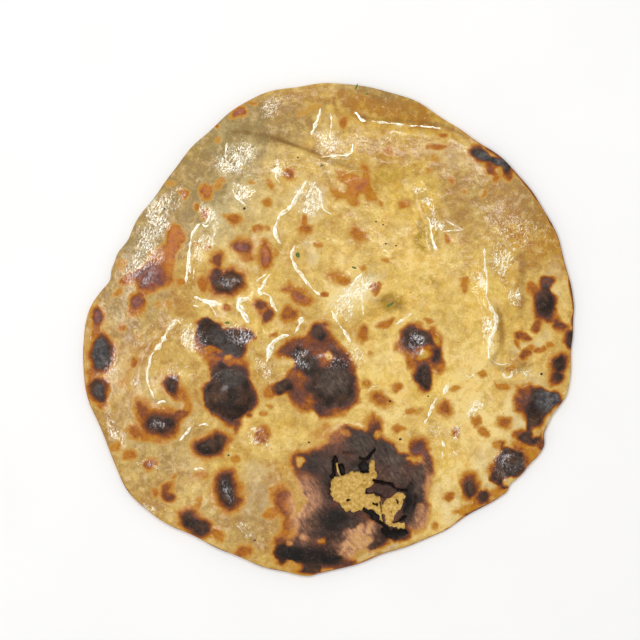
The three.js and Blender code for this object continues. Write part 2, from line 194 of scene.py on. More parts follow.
# Lines of oil that stands along fine creases: points, half width
OIL_LINES = (
    ("right fold, top", ((69.2, 36), (69.6, 28), (70.4, 20), (69.4, 15.4)), 0.75),
    ("right fold, middle", ((69.3, 16), (71.5, 10.6), (74.0, 7), (74.5, 3.2), (72.4, -3.4)), 0.95),
    ("right fold, low", ((72.4, -3.2), (70.8, -8.4), (71.5, -13.2)), 0.9),
    ("right fold, foot", ((71.6, -12.8), (75.4, -15.4), (80, -15.2)), 0.3),
    ("upper right line", ((43.6, 50.4), (45, 46), (45.8, 41), (47.9, 35)), 0.7),
    ("its branch", ((52, 48.4), (55.6, 46.6), (59.8, 44.3)), 0.45),
    ("its branch, low", ((50.8, 43.6), (55.4, 44.2), (59.8, 44.3)), 0.4),
    ("crescent line, start", ((11.2, 97.4), (13.8, 94.4), (16.6, 93.4)), 0.7),
    ("crescent line", ((19, 93.4), (26, 92.2), (33.4, 91.8)), 0.6),
    ("crescent line, end", ((34.6, 91.4), (41, 91.4), (50, 90.2)), 0.6),
    ("furrow line", ((-3.4, 77.2), (1.4, 77.9), (6.6, 77.8), (9.9, 79.2), (10.3, 83.2)), 0.8),
    ("top line", ((-3.8, 99), (-5.2, 94.6), (-7.9, 87)), 0.9),
    ("top line, faint", ((0.9, 97), (0.7, 90.8), (0.2, 85)), 0.5),
    ("upper left line", ((-53.5, 51.4), (-54.8, 47.8), (-57.4, 47.5), (-60.7, 43.9), (-62.5, 37.4),
                         (-63.3, 30.7), (-64.4, 20.4)), 0.7),
    ("its loop", ((-57.4, 47.6), (-55.4, 45.9), (-53.6, 46.8)), 0.7),
    ("its double", ((-62.2, 34.4), (-62.6, 29.6), (-62.1, 25.2)), 0.7),
    ("its foot", ((-60.3, 27.4), (-60.5, 24.2), (-61.0, 21.6)), 0.55),
    ("middle line, upper", ((-10.5, 66.1), (-13.9, 60.3), (-17.6, 55), (-21.4, 52.1), (-24.2, 45.6),
                            (-23.6, 41.6), (-21.3, 37.7)), 1.0),
    ("its double", ((-14.4, 58.6), (-18.4, 53.2), (-22.4, 50.8)), 0.8),
    ("its right arm", ((-4.5, 62.6), (-3.6, 57.4), (-2.6, 53.6), (0.9, 51.6)), 0.75),
    ("middle line, lower", ((-15.3, 38), (-16.7, 32.6), (-14.2, 26.6), (-10.2, 20.8), (-4.1, 15)), 0.85),
    ("its top", ((-16, 37.4), (-13.8, 36.6)), 0.8),
    ("left of it", ((-25.4, 25.2), (-27.8, 23.5), (-29.6, 19.7), (-31.2, 17)), 0.95),
    ("left of it, blob", ((-31.4, 19), (-31, 16.4), (-29.2, 15.8)), 1.5),
    ("left of it, low", ((-29.6, 16.6), (-26.6, 15.2), (-25.4, 11.4), (-23.6, 8.1)), 0.9),
    ("left of it, branch", ((-28.1, 25), (-30.6, 23.2), (-32.5, 21.5)), 0.65),
    ("thick splash", ((-60.6, 14.6), (-57.2, 13.2), (-53.2, 12), (-48, 11.3)), 1.5),
    ("splash foot", ((-53.2, 11.4), (-52.2, 9), (-50.6, 6.3)), 1.2),
    ("splash dash", ((-61.3, 10.6), (-58.4, 10.1)), 0.6),
    ("short bracket", ((-35.3, 13.4), (-39.4, 13.3), (-40.9, 11.5), (-39.2, 8.5), (-36, 2.4)), 1.25),
    ("left line, hook", ((-66.2, 2.6), (-68.3, 4.3), (-70.9, 2), (-73.8, -3.7)), 1.05),
    ("left line, knot", ((-73.2, -3.2), (-75.4, -6.6), (-78.2, -9.6)), 1.5),
    ("left line, low", ((-78, -9.4), (-80.2, -14.2), (-81.4, -18.6), (-80.9, -23.8), (-79.6, -28),
                        (-77.8, -31.4)), 0.6),
    ("left line, end", ((-77.4, -33.4), (-74.6, -32), (-72.4, -32.4)), 0.5),
    ("patch line, left", ((-17.6, -2.6), (-21.8, -3.8), (-25.6, -7), (-28.3, -14.4)), 1.5),
    ("patch line, top", ((-11.8, 5.6), (-13.6, 1.6), (-15.4, -1.8)), 1.8),
    ("patch line, right", ((1.0, 8.7), (3.2, 3.8), (6.6, -0.4), (9.4, -6)), 0.8),
    ("triangle, left", ((14.6, 25), (11, 20.6), (7.2, 16), (3.2, 12)), 0.9),
    ("triangle, right", ((15, 24), (14.6, 15), (14.9, 5)), 0.5),
    ("low left line", ((-66.8, -49.8), (-64.1, -46.7), (-61.5, -43.3)), 0.6),
    ("low left arc", ((-58.4, -42.8), (-55.8, -41.8), (-53.7, -42.8)), 0.65),
    ("low left arc, second", ((-60.5, -62.9), (-57.9, -61.9), (-54.8, -62.6)), 0.6),
    ("lower right line", ((48.2, -30.2), (46, -34.6), (44.4, -38.6), (42.4, -42.2)), 0.95),
    ("lower right stub", ((53.3, -23.8), (52.4, -26.4), (51.2, -29.2)), 0.9),
    ("right of the centre", ((29.6, 2.3), (33.6, 4.6), (36.8, 7.2)), 0.7),
    ("right of the patch", ((17.4, -27.8), (19.6, -25.6), (22.4, -25)), 0.5),
    ("small arc, right", ((61, -20.2), (62.8, -21.2), (65, -20)), 0.6),
    ("ring, right", ((77.2, -19.6), (78.6, -21.4), (81, -20.8), (81.4, -18.6)), 0.8),
    ("upper left line, fine", ((-43.4, 62.6), (-40.6, 58.6), (-37.2, 55.2)), 0.75),
    ("by the glinting spot", ((-22.6, 71.4), (-24, 68), (-21.8, 65.4)), 0.9),
    ("lower right dots", ((50.2, -49.4), (51.4, -52.6)), 0.7),
    ("lower right dots, second", ((50.6, -54.2), (50.9, -57.4)), 0.6),
    ("upper left stroke", ((-45.4, 84), (-46.6, 79), (-46, 76)), 0.7),
)
# Ridge of a line of oil: step along it (mm), points across it, rise as a part of its half width
OIL_STEP = 0.3
OIL_ACROSS = 9
OIL_STEEPNESS = 0.13
LEAST_OIL_POINTS = 5
# How far its line strays: size of the hills, by how much (mm), seeds for x and y
OIL_WOBBLES = ((4.0, 0.3, 61, 62), (1.4, 0.14, 63, 64))
# Its width as a part of the noted one, and how far that strays in bulges of this size and seed
OIL_FULLNESS = 0.8
OIL_UNEVEN = 0.7
OIL_BULGES = (1.9, 65)
# It narrows over this length at its ends (mm), and this part is left of the end
OIL_END = 1.4
OIL_LEAST_END = 0.02
# How deep its sides and its foot go into the skin (mm)
OIL_SINK = 0.09
OIL_DEPTH = 0.6

# Browned and charred spots, out to their orange edge: place, half sizes, turn, browning at most
# (0.3 light orange, 0.5 orange brown, 0.7 red brown, 0.85 purple brown, 1 black)
SPOTS = (
    # upper left field and rim
    ("rim, purple", (-40.1, 97.5), (4.2, 2.6), 10, 0.6), ("dot", (-50.4, 91.2), (1.4, 1.2), 0, 0.5),
    ("dot", (-33.8, 101.3), (1.5, 0.9), 15, 0.44), ("dot", (-50, 84.5), (1.4, 1.3), 0, 0.3),
    ("streak", (-9.2, 97.6), (6, 2.1), 22, 0.2), ("island", (-54.9, 60.7), (3.1, 4.1), 0, 0.5),
    ("dot", (-59.8, 54.4), (1.7, 2), 20, 0.45), ("dot", (-55.8, 50.8), (2.1, 1.9), 0, 0.5),
    ("reddish", (-65.2, 61.2), (2, 2.6), 0, 0.5), ("faint", (-70.3, 64.4), (1.6, 2), 40, 0.24),
    ("pair", (-50.2, 64), (1.4, 2), 20, 0.32), ("pair", (-48.4, 66), (1.4, 1.2), 0, 0.34),
    ("dash", (-34.2, 65.9), (2, 1), 0, 0.32), ("bar", (-27.6, 64.4), (1.6, 2.8), 20, 0.42),
    ("dot", (-28, 57.1), (2, 1.9), 0, 0.4), ("glinting", (-17, 68.6), (3.2, 3.1), 20, 0.55),
    # left strip
    ("dot", (-94, 16.4), (2.3, 2.3), 0, 0.4), ("faint", (-72, 11), (2.2, 2.8), 0, 0.26),
    ("faint", (-76.4, 10.8), (1.6, 1.6), 0, 0.28), ("faint", (-67, 21), (2, 1.8), 0, 0.4),
    ("drift", (-93, 29), (3.4, 2.8), 40, 0.3), ("band, joining", (-83.5, 17.2), (3, 4), -30, 0.5),
    ("band, left lobe", (-89.4, 22), (5, 2.6), 20, 0.52), ("band, foot", (-86.6, 7.2), (5, 2.8), 0, 0.42),
    # left rim
    ("rim, top", (-103.4, 6), (3.9, 4.6), 0, 0.7), ("join", (-105, 0), (3, 5), 0, 0.55),
    ("black oval", (-102.4, -10.4), (6.2, 9.8), 0, 1.0), ("lower", (-102.6, -27.6), (5.2, 6.4), 0, 0.98),
    ("join", (-106, -19.6), (2.6, 5), 0, 0.5), ("foot", (-101.6, -34), (2.6, 3), 0, 0.5),
    ("dot", (-87.6, -13.7), (2, 2.5), 20, 0.5), ("dot", (-92.6, 0.2), (2, 2), 0, 0.5),
    ("faint", (-91, -23), (2.8, 3), 0, 0.26), ("faint", (-84, -3), (1.6, 1.6), 0, 0.26),
    # middle left
    ("glinting", (-41.6, 49.4), (3.6, 3.3), 0, 0.5), ("dot", (-46, 51), (1.6, 1.3), 0, 0.3),
    ("dot", (-31.6, 44.4), (1.8, 2.3), 0, 0.5), ("dot", (-28.2, 44.6), (1.4, 1.4), 0, 0.36),
    ("purple", (-39.6, 36.4), (4.6, 4.6), -30, 0.68), ("tail", (-37.2, 31.6), (3.4, 3), -30, 0.46),
    ("oval", (-29.4, 32.8), (4.4, 6.8), 6, 0.56), ("side", (-24, 33.8), (1.6, 1.6), 0, 0.36),
    ("upper part", (-50, 30.6), (4, 5.2), 0, 0.66), ("blister", (-44.4, 20.6), (9, 6), 10, 0.97),
    ("blister, left", (-50.4, 22.6), (5.2, 4.4), 0, 0.8), ("blob", (-57.1, 20.6), (2.8, 3.4), 0, 0.5),
    ("dot", (-54, 37), (1.5, 1.6), 0, 0.44), ("dot", (-58.4, 38.4), (1.6, 1), 0, 0.3),
    ("triangle", (-11.4, 44.6), (3.6, 3.4), 0, 0.5), ("triangle top", (-11.4, 49), (1.7, 3), 0, 0.46),
    ("ridge spot", (-12.4, 13.8), (7, 4.2), -28, 0.58),
    ("ridge spot, left", (-18, 17.4), (3.4, 2.6), 0, 0.56),
    ("small brown", (-18.1, 6.9), (4.2, 3.6), 0, 0.58), ("dark red", (-31.4, 10.8), (3.6, 3), 0, 0.66),
    ("dark red, foot", (-27.6, 6.6), (3.4, 3), 40, 0.78),
    ("dark red, halo", (-29.6, 8.6), (4, 4.4), 30, 0.5), ("dot", (-24.4, -1.6), (1.8, 1.7), 0, 0.42),
    ("dot", (-3, 15), (2, 1.2), -20, 0.5), ("dot", (-45, 8.6), (2, 1.6), 0, 0.5),
    # black pair left of the middle
    ("dot", (-36.1, -39.2), (1.8, 1.4), 0, 0.42), ("dot", (-29.3, -39.2), (2, 1.5), 0, 0.4),
    # lower left
    ("far left", (-75.4, -41.8), (10.6, 8), -12, 0.9),
    ("far left, up", (-83.6, -35.6), (4.6, 6.4), 30, 0.6),
    ("far left, arm", (-67.4, -38.6), (5, 3), 20, 0.66), ("glinting", (-87.1, -45.5), (4.6, 4), 0, 0.52),
    ("low side", (-80, -48), (6, 3), -20, 0.45), ("dark drop", (-70.4, -25.6), (4.2, 5.6), 15, 0.86),
    ("drop halo", (-65.6, -28.6), (5, 4.4), -30, 0.48), ("edge", (-64, -35), (2.6, 4), 0, 0.42),
    ("kidney", (-54.4, -52.8), (7.2, 5.6), 14, 1.0), ("kidney, right", (-49.8, -49.8), (5.4, 5.4), 0, 1.0),
    ("tall oval", (-45.8, -72.6), (7.6, 9.8), 8, 0.94),
    ("tall oval, top", (-47, -66.4), (5.6, 5.6), 0, 0.92), ("rim low", (-62, -84.8), (6.6, 5), -30, 0.97),
    ("rim low, end", (-57.4, -88.6), (5.6, 4.8), -30, 0.95),
    ("rim orange", (-49.6, -91.4), (4, 3.4), -30, 0.46), ("arch", (-39.4, -99.4), (5, 3.8), -10, 0.5),
    ("spot", (-89.8, -57.1), (3.6, 2.6), 10, 0.5), ("spot", (-79.6, -60.2), (3.6, 2.2), 10, 0.52),
    ("spot", (-72.6, -72), (3.6, 4.4), -20, 0.6), ("spot core", (-71.4, -74.6), (3, 2.6), 0, 0.76),
    ("dot", (-78.4, -73.6), (2.2, 2.2), 0, 0.5), ("ring", (-56.4, -65.4), (2.6, 2.8), 0, 0.36),
    ("dot", (-59, -77.6), (1.6, 2.6), -15, 0.34), ("dot", (-69.6, -66), (1.4, 1.8), 0, 0.4),
    ("dot", (-41.9, -57.1), (2, 1.9), 0, 0.42), ("glinting", (-30, -48), (3.4, 4.2), 0, 0.5),
    ("speck", (-94.8, -52.6), (2.2, 2), 0, 0.36),
    # upper right
    ("spot", (6.9, 93), (2.5, 3), -20, 0.5), ("spot", (26.8, 79.6), (2.8, 2.1), 0, 0.4),
    ("spot", (50.8, 87.6), (2.1, 2), 0, 0.54), ("bar", (47.4, 81.8), (4.2, 1.5), -6, 0.5),
    ("faint", (47, 77), (2.2, 1.6), 0, 0.28), ("faint", (43.6, 71.6), (1.8, 2.4), 20, 0.3),
    ("faint", (54.4, 67.3), (1.4, 1.4), 0, 0.34), ("faint", (59.8, 61.6), (1, 1), 0, 0.34),
    ("faint", (68.6, 60), (1.2, 1.9), 0, 0.34), ("rim, first", (67.9, 78.2), (4.6, 3.8), -30, 0.97),
    ("rim, link", (72.4, 76), (4.6, 2.6), -30, 0.92), ("rim, second", (77, 73), (5.4, 4.6), -42, 0.97),
    ("leg", (71, 71.4), (2.2, 4), 20, 0.62), ("leg", (73.2, 67.4), (1.6, 2.4), 0, 0.48),
    ("leg", (79.2, 68.8), (2.6, 2.8), 0, 0.6), ("patch, foot", (11, 56.6), (3.2, 1.8), 0, 0.36),
    ("dot", (2, 62), (1.6, 1.4), 0, 0.36), ("dot", (4.5, 60), (1.6, 1.3), 0, 0.36),
    ("dot", (24, 57), (1.6, 1.4), 0, 0.36), ("spot", (34, 56), (3, 1.8), -15, 0.42),
    ("spot", (13.2, 43.4), (3.6, 4.8), 25, 0.46), ("spot", (12.6, 37.6), (2, 2.4), 0, 0.26),
    ("streak", (4, 23), (7, 3.8), -10, 0.44), ("slim", (21.3, 18.4), (1.7, 4), -4, 0.5),
    ("dot", (15.9, 28.6), (1.8, 1.8), 0, 0.38), ("dot", (-5.2, 37.6), (2, 1.2), -10, 0.34),
    ("dot", (53.1, 40.1), (1.6, 2.2), 0, 0.4), ("streak", (60.7, 19.5), (1.8, 4.4), 0, 0.4),
    ("dot", (25.3, 32), (2, 1.2), 0, 0.28), ("dot", (5, 50), (1.4, 1.4), 0, 0.3),
    # right rim
    ("shoulder", (91, 18), (3, 2.6), -30, 0.5), ("tail", (102.6, 2), (4, 2.6), -45, 0.74),
    ("tail", (92.8, 2), (2.2, 2.8), 0, 0.62), ("arc, top", (85.8, -2.9), (4.6, 2.1), 4, 0.64),
    ("arc, left", (83, -6.8), (1.7, 3), 20, 0.5), ("arc, foot", (86.8, -11.2), (3.2, 2.1), 30, 0.6),
    ("arc, middle", (88.6, -8.4), (2.6, 1.5), 30, 0.42), ("arc, end", (93.4, -8.2), (3.6, 1.5), 25, 0.54),
    ("dot", (98.2, -5.6), (2.2, 1.2), 0, 0.4), ("edge", (107.6, -4.4), (2.8, 4.2), 10, 0.97),
    ("black", (103, -14.6), (6, 5), -10, 1.0), ("black, tail", (101.8, -20.4), (4.4, 4), -10, 0.9),
    ("foot, left", (84, -46), (3.6, 2.6), 0, 0.6), ("notch, left", (89.2, -48.8), (6, 3.4), -8, 0.86),
    ("notch", (94.6, -51.6), (3.4, 2.6), 0, 0.7), ("spot", (78.2, -40.5), (2.9, 2.9), 0, 0.54),
    ("gap by the crumb", (79.2, -70.4), (2, 1.4), 0, 1.0),
    ("orange side", (89.9, -57.4), (4.2, 6.4), 12, 0.38), ("orange foot", (77, -73.4), (7, 2.8), 25, 0.38),
    ("orange between", (84.6, -52.4), (4, 2.6), -20, 0.4), ("small", (63.4, -69.6), (4.6, 6), 12, 0.66),
    ("small core", (63.2, -71), (4.2, 4.8), 12, 1.0), ("small, low", (68.8, -75.9), (4, 3.2), 0, 0.56),
    ("small, low core", (69, -75.9), (3.2, 3), 0, 0.9), ("rim orange", (62.6, -79.6), (6.6, 2.6), 18, 0.38),
    ("dot", (54, -74.1), (2.3, 2.3), 0, 0.5), ("spot", (52, -35), (4.4, 4.2), 0, 0.6),
    ("dot", (66, -41), (2.4, 2.4), -30, 0.46), ("dot", (69, -45.4), (2.6, 2.2), -40, 0.42),
    ("dot", (74, -51), (1.7, 2), 0, 0.36), ("dot", (56.2, -46), (2.2, 2.6), 0, 0.5),
    ("dash", (77, -25.4), (4.2, 2), -25, 0.42), ("dot", (68.8, -19), (1.9, 1.6), 0, 0.36),
    ("dash", (57.1, -26.7), (2.6, 1.1), 8, 0.36), ("dash", (81, -16.6), (2.6, 1.6), 20, 0.36),
    # right of the middle
    ("top bits", (44.4, 3.4), (3.2, 1.8), -20, 0.46), ("stem, side", (49, -17), (2.2, 3), 0, 0.55),
    ("dash", (24.4, 2.8), (4.2, 1.9), 24, 0.5), ("brown", (15, -1.4), (2.9, 4.2), 0, 0.56),
    ("orange", (23, -31), (5, 4.6), -30, 0.58), ("dot", (30.6, -25.6), (2.6, 2), -20, 0.48),
    ("dot", (31.6, -45.4), (2.6, 1.6), 0, 0.42), ("dash", (36, -37), (3, 1.5), 15, 0.4),
    ("dash", (39.6, -36.4), (3.2, 1.2), 15, 0.3), ("dot", (18.6, -11), (1.4, 1.4), 0, 0.3),
    # central patch
    ("bits", (-27, -27), (3, 3.4), 0, 0.48), ("bits", (-27, -35), (1.8, 1.8), 0, 0.4),
    ("bits", (17, -24), (2, 2), 0, 0.45),
    # torn blister
    ("top band", (21.3, -52.6), (13.4, 4.9), -23, 0.93),
    ("top band, right", (32.9, -58.5), (4.5, 5.4), -50, 0.9),
    ("top cap", (13.2, -46.8), (7.6, 3.6), -5, 0.8), ("upper left", (3.4, -49.5), (7.2, 5.8), 0, 0.56),
    ("upper left rim", (-2.0, -46.8), (5.8, 4.0), 30, 0.5),
    ("upper bump", (19.0, -42.8), (4.5, 4.9), 0, 0.64), ("left arm", (-11.4, -58.5), (6.7, 4.0), 10, 0.78),
    ("left arm, inner", (-3.8, -56.7), (5.4, 4.5), 0, 0.82),
    ("left, by the crumb", (-0.7, -64.3), (4.0, 6.3), 0, 0.9),
    ("left flank", (-6.9, -72.8), (6.7, 10.8), 0, 0.55),
    ("left flank, inner", (-2.0, -76.4), (3.6, 7.2), -15, 0.8),
    ("low dark", (3.4, -85.8), (11.2, 6.3), -5, 1.0),
    ("low dark, right", (12.8, -85.8), (6.3, 5.4), 0, 0.97),
    ("low left", (-6.9, -90.3), (7.6, 5.4), 0, 0.9), ("plate", (29.3, -66.5), (8.5, 6.7), -5, 0.9),
    ("right flank", (39.6, -70.1), (5.8, 12.5), -5, 0.84),
    ("right black", (36.1, -77.3), (4.0, 6.3), 10, 1.0),
    ("right lobe", (40.5, -53.1), (4.9, 4.5), -20, 0.78),
    ("right lobe, tail", (44.1, -59.4), (2.7, 6.3), 10, 0.76),
    ("right, low", (37.9, -85.3), (5.8, 5.8), 30, 0.72),
    ("low right black", (29.3, -90.7), (7.6, 4.0), 5, 1.0),
    ("low right, tail", (21.7, -94.3), (5.4, 4.0), -30, 0.9),
    ("bottom, left", (-18.6, -99.7), (7.6, 5.8), 0, 1.0),
    ("bottom, middle", (-7.4, -101.5), (9.9, 5.4), 0, 1.0),
    ("bottom, right", (2.5, -103.3), (5.4, 3.1), 10, 0.9),
    ("bottom edge", (-1.6, -106.0), (14.3, 2.7), 4, 0.75),
    ("orange left", (-19.5, -77), (6.4, 9.2), 25, 0.62), ("orange tip", (-26, -81.5), (4.6, 2.6), 20, 0.42),
    ("orange top", (-24.6, -71.6), (2.6, 1.6), 0, 0.36),
    ("orange, low", (-17.2, -85.3), (4.5, 6.3), -20, 0.55), ("dot", (30.7, -45.0), (2.2, 2.0), 0, 0.45),
    ("low tan", (14, -92.6), (6.6, 9.4), -14, 0.3), ("bottom, foot", (-9, -107), (6, 3), 0, 0.96),
    ("bottom, joining", (-19.4, -91.6), (4.6, 6), -20, 0.5),
    ("bottom, upper left", (-22.6, -95), (4.4, 4), 0, 0.66),
    ("right bit", (46.8, -88.0), (1.8, 1.8), 0, 0.42), ("low mottle", (7, -93.4), (4.6, 2.6), 30, 0.6),
    ("low mottle", (13, -98), (4.6, 2), 20, 0.56), ("low mottle", (4, -98.4), (5, 2.6), 0, 0.62),
    ("low mottle", (19.6, -96.4), (3, 3.6), 0, 0.8), ("low mottle", (8, -92.4), (4, 2), 30, 0.66),
    ("low mottle", (10, -101), (3, 1.6), 10, 0.4), ("low mottle", (-12, -97.4), (5, 3), 0, 0.86),
)
# Paler windows inside the dark: place, half sizes, turn, browning at most
WINDOWS = (
    ("black pair, left window", (-51.3, -9.7), (3.6, 1.6), -4, 0.5),
    ("black pair, bright", (-44.8, -12.6), (1.9, 1.3), 0, 0.25),
    ("black pair, low", (-44.3, -15.4), (3.2, 1.2), 0, 0.56),
    ("black pair, right", (-38.9, -14.4), (2, 1.1), 0, 0.46),
    ("right of the middle, bright", (47.6, -5.3), (1.2, 1.2), 0, 0.3),
    ("right of the middle, second", (42.2, -11.2), (2.1, 1.5), -30, 0.1),
    ("central patch, bright", (-0.3, -11.5), (1.5, 1.3), 0, 0.2),
    ("central patch, left gap", (-20.4, -17.4), (4.8, 2), 32, 0.0),
    ("rim legs", (74.4, 70.2), (1.6, 2), 0, 0.2), ("left arm, hole", (-13.0, -59.6), (1.7, 1.4), 0, 0.16),
    ("torn, tan", (11.4, -91.0), (5.4, 1.8), 38, 0.36), ("torn, pale", (15.5, -95.8), (5, 2), 30, 0.26),
    ("torn, small tan", (-2.0, -93.8), (1.8, 0.8), 20, 0.44),
    ("torn, small tan, left", (-10.4, -93.4), (2, 1), -20, 0.44),
    ("torn, bright", (-16.8, -96.8), (1.6, 1.2), 0, 0.34),
    ("torn, spark", (-14.6, -83.2), (2.0, 1.8), 0, 0.3),
    ("torn, upper bright", (21.3, -46.6), (2.2, 1.5), 0, 0.3),
    ("torn, upper left bright", (6.4, -46.4), (2.2, 1.2), -20, 0.42),
    ("right bright", (38.6, -58.2), (3.4, 1.2), 0, 0.2),
    ("torn, right pale", (33.4, -51.2), (2.4, 3.0), -30, 0.0),
    ("torn, right tan", (40, -82), (1.6, 4.4), -15, 0.5),
    ("torn, low pale", (-15.4, -105.2), (2.4, 1.4), -10, 0.2),
    ("large blister, gap", (98.6, -40.9), (1.4, 6), -34, 0.1),
    ("notch, pale", (93, -46.6), (2.4, 1.2), 0, 0.15), ("notch crumb", (80.9, -67.7), (2.2, 1.9), 20, 0.0),
)
# Browning grows by this much a millimetre inwards from a spot's edge, and faster in a small spot,
# so that it is full at this part of the way in
GROWTH = 0.12
FULL_AT = 0.88
# How far browning reaches past a noted edge (mm), less in a spot of a smaller half size than the second
REACH_PAST = 1.0
FULL_REACH_HALF = 3.0
# What a large dark spot adds to that (mm)
DARK_REACH_PAST = 0.7
# A spot counts as large from this half size on (mm), and in full this much further on
LARGE_FROM, LARGE_OVER = 2, 4
# It counts as dark from this browning on, and in full this much further on
DARK_FROM, DARK_OVER = 0.5, 0.4
# Spots that meet run together within this much browning
RUN_TOGETHER = 0.16
# Browning outside all spots, and the value under which a spot is out of reach
UNBROWNED = -1.0
OUT_OF_REACH = -0.7
# How long before its full level a spot starts to look flat
FLAT_BEFORE = 0.08
# Browning comes back by this much a millimetre outside a window, from this far within its edge, and
# is left alone beyond its reach (mm)
WINDOW_GROWTH = 0.42
WINDOW_SOFTNESS = 0.2
WINDOW_REACH = 6
# How far the edges of spots stray, and further those of patches of oil: size of the hills (mm), by how
# much (mm), seeds for x and y
STRAYS = ((9.0, 1.3, 21, 31), (3.6, 0.9, 22, 32), (1.7, 0.45, 23, 33))
OIL_STRAYS = ((11.0, 3.4, 71, 75), (4.6, 2.2, 72, 76), (2.0, 1.0, 73, 77))

# Brown marks on the rim itself: from, to (degrees), browning, width (mm)
RIM_MARKS = (
    (-4, 52, 0.66, 1.3), (22, 30, 0.7, 2.2), (12, 17, 0.72, 1.8), (213, 226, 0.7, 0.5),
    (238, 262, 0.7, 0.5), (264, 318, 0.5, 0.9), (304, 314, 0.8, 1.4), (330, 338, 0.7, 1.0),
    (176, 204, 0.4, 0.7), (205, 236, 0.36, 0.6), (46, 60, 0.4, 1.2),
)
# Marks begin and end over this many degrees, their width strays by this part in hills of this size and
# seed, and they fade between these parts of it
MARK_ENDS = 3
MARK_UNEVEN = 0.7
MARK_HILLS = (4, 41)
MARK_FADE = (0.3, 1.3)
LEAST_MARK_WIDTH = 0.1
# How far under none the browning begins outside a mark
MARK_OUTSIDE = 0.5

# Broad differences of tone, partly the dough's own and partly painted light and shade on swells, valleys,
# hollows and the sloping rim, darker where negative: place, half sizes, turn, amount
TONES_LIGHT_AND_SHADE = (
    ("bright middle", (34, 4), (56, 66), 10, 0.75), ("triangle", (8, 13), (10, 14), -28, 1.0),
    ("bright lower middle", (-8, -44), (50, 18), 0, 0.45),
    ("bright left of the middle", (-30, 30), (16, 36), 0, 0.3),
    ("bright upper middle", (-4, 50), (16, 14), 0, 0.25), ("bright right", (70, -30), (22, 30), 0, 0.95),
    ("bright lower right", (50, -80), (20, 24), 30, 0.9),
    ("dull beside the centre", (12, 4), (30, 12), 0, -0.4), ("dent", (27, 12), (9, 5), 10, -1.0),
    ("right of the patch", (24, -36), (14, 12), 0, 0.7),
    ("crescent, right end", (54, 90), (14, 10), -30, 1.0),
    ("top crescent", (26, 100.5), (40, 9), -12, -1.9), ("top, brown", (26, 98), (28, 5), -14, -1.5),
    ("top, middle", (-7, 105), (20, 5), 0, -1.6), ("lower right, low", (59, -65), (15, 11), 0, 0.8),
    ("bright lower left middle", (-22, -50), (12, 8), 0, 0.6),
    ("bright right middle", (37, 26), (13, 11), 0, 0.5), ("pale band", (38, -93), (12, 6), 10, 0.6),
    ("left of the patch", (-26, 2), (14, 14), 0, 0.5),
    ("under the bright right", (70, -50), (16, 16), 0, 0.4),
    ("under the crescent", (26, 76), (24, 15), 0, -1.0),
    ("top, left of the middle", (-32, 92), (32, 16), 10, -0.5),
    ("upper left rim", (-62, 74), (26, 54), -45, -1.3), ("above the furrow", (-24, 92), (28, 12), 14, -0.9),
    ("upper left field", (-72, 52), (24, 36), -30, -1.6),
    ("upper left field, right", (-36, 76), (30, 14), 0, -0.6),
    ("left field", (-84, 16), (30, 52), 0, -1.15), ("left rim, low", (-98, -26), (20, 36), 0, -1.3),
    ("right rim", (92, 56), (24, 36), 20, -1.9), ("right, middle", (97, 4), (16, 30), 0, 0.5),
    ("right valley", (76.4, -1), (2.6, 12), 4, -1.2), ("second valley", (86, 18), (2.8, 16), 0, -1.0),
    ("fold's hollow", (80, -13), (12, 5), -10, -0.8),
    ("under the right crease", (62, 60), (20, 14), -30, -1.0), ("shade band", (60, 48), (16, 7), -10, -0.5),
    ("lower right rim", (80, -72), (22, 14), 36, -0.1), ("left edge", (-100, 22), (12, 40), -20, -0.5),
    ("lower left", (-78, -60), (34, 34), 0, -0.75), ("bottom left", (-32, -84), (26, 26), 0, -1.4),
    ("round the torn blister", (-8, -76), (44, 24), 0, -0.7),
    ("upper right", (54, 82), (30, 20), -35, -0.4), ("bottom rim", (8, -104), (48, 8), 12, -1.1),
)
# Deep yellow, oil-soaked places, and olive tints: place, half sizes, turn, amount
YELLOWS = (
    ("lower right of the middle", (44, -22), (16, 18), 0, 0.8),
    ("lower middle", (-24, -44), (22, 8), 0, 0.45), ("left middle", (-32, 4), (9, 16), 0, 0.6),
    ("upper middle", (-26, 20), (8, 12), 0, 0.5), ("lower right", (46, -56), (16, 10), -10, 0.7),
    ("right crease", (42, 46), (8, 18), 0, 0.9), ("right fold", (66, 20), (8, 18), 0, 0.4),
    ("lower left", (-40, -58), (10, 8), 0, 0.5), ("right field", (74, 12), (20, 32), 0, 0.6),
    ("right of the patch", (20, -24), (14, 12), 0, 0.7), ("upper right", (34, 68), (34, 26), -20, 1.0),
    ("right of the centre", (30, 14), (34, 30), 0, 0.45), ("top", (0, 98), (34, 14), 0, 0.5),
    ("right rim", (101, 42), (12, 32), 14, 1.0), ("inside it", (86, 44), (10, 10), 0, 0.9),
    ("crescent", (36, 96), (34, 12), -12, 1.0), ("left rim, low", (-98, -20), (16, 34), 0, 0.8),
    ("left middle, low", (-50, -60), (20, 12), 0, 0.4),
)
OLIVES = (
    ("by the right crease", (43, 42), (7, 11), 0, 1.4), ("above the patch", (5, 77), (8, 3.4), 0, 0.9),
    ("beside the patch", (26, 69), (7, 5), 0, 0.8), ("dent", (27, 12), (8, 5), 10, 1.7),
    ("dent", (20, 24), (7, 5), 20, 0.6), ("right dent", (45, 21.6), (7, 3.2), -15, 0.8),
    ("left dent", (-26, 40), (6, 6), 0, 0.3), ("upper left", (-58, 84), (14, 6), 45, 0.4),
    ("left of the right fold", (52, 4), (10, 8), 0, 0.4),
)
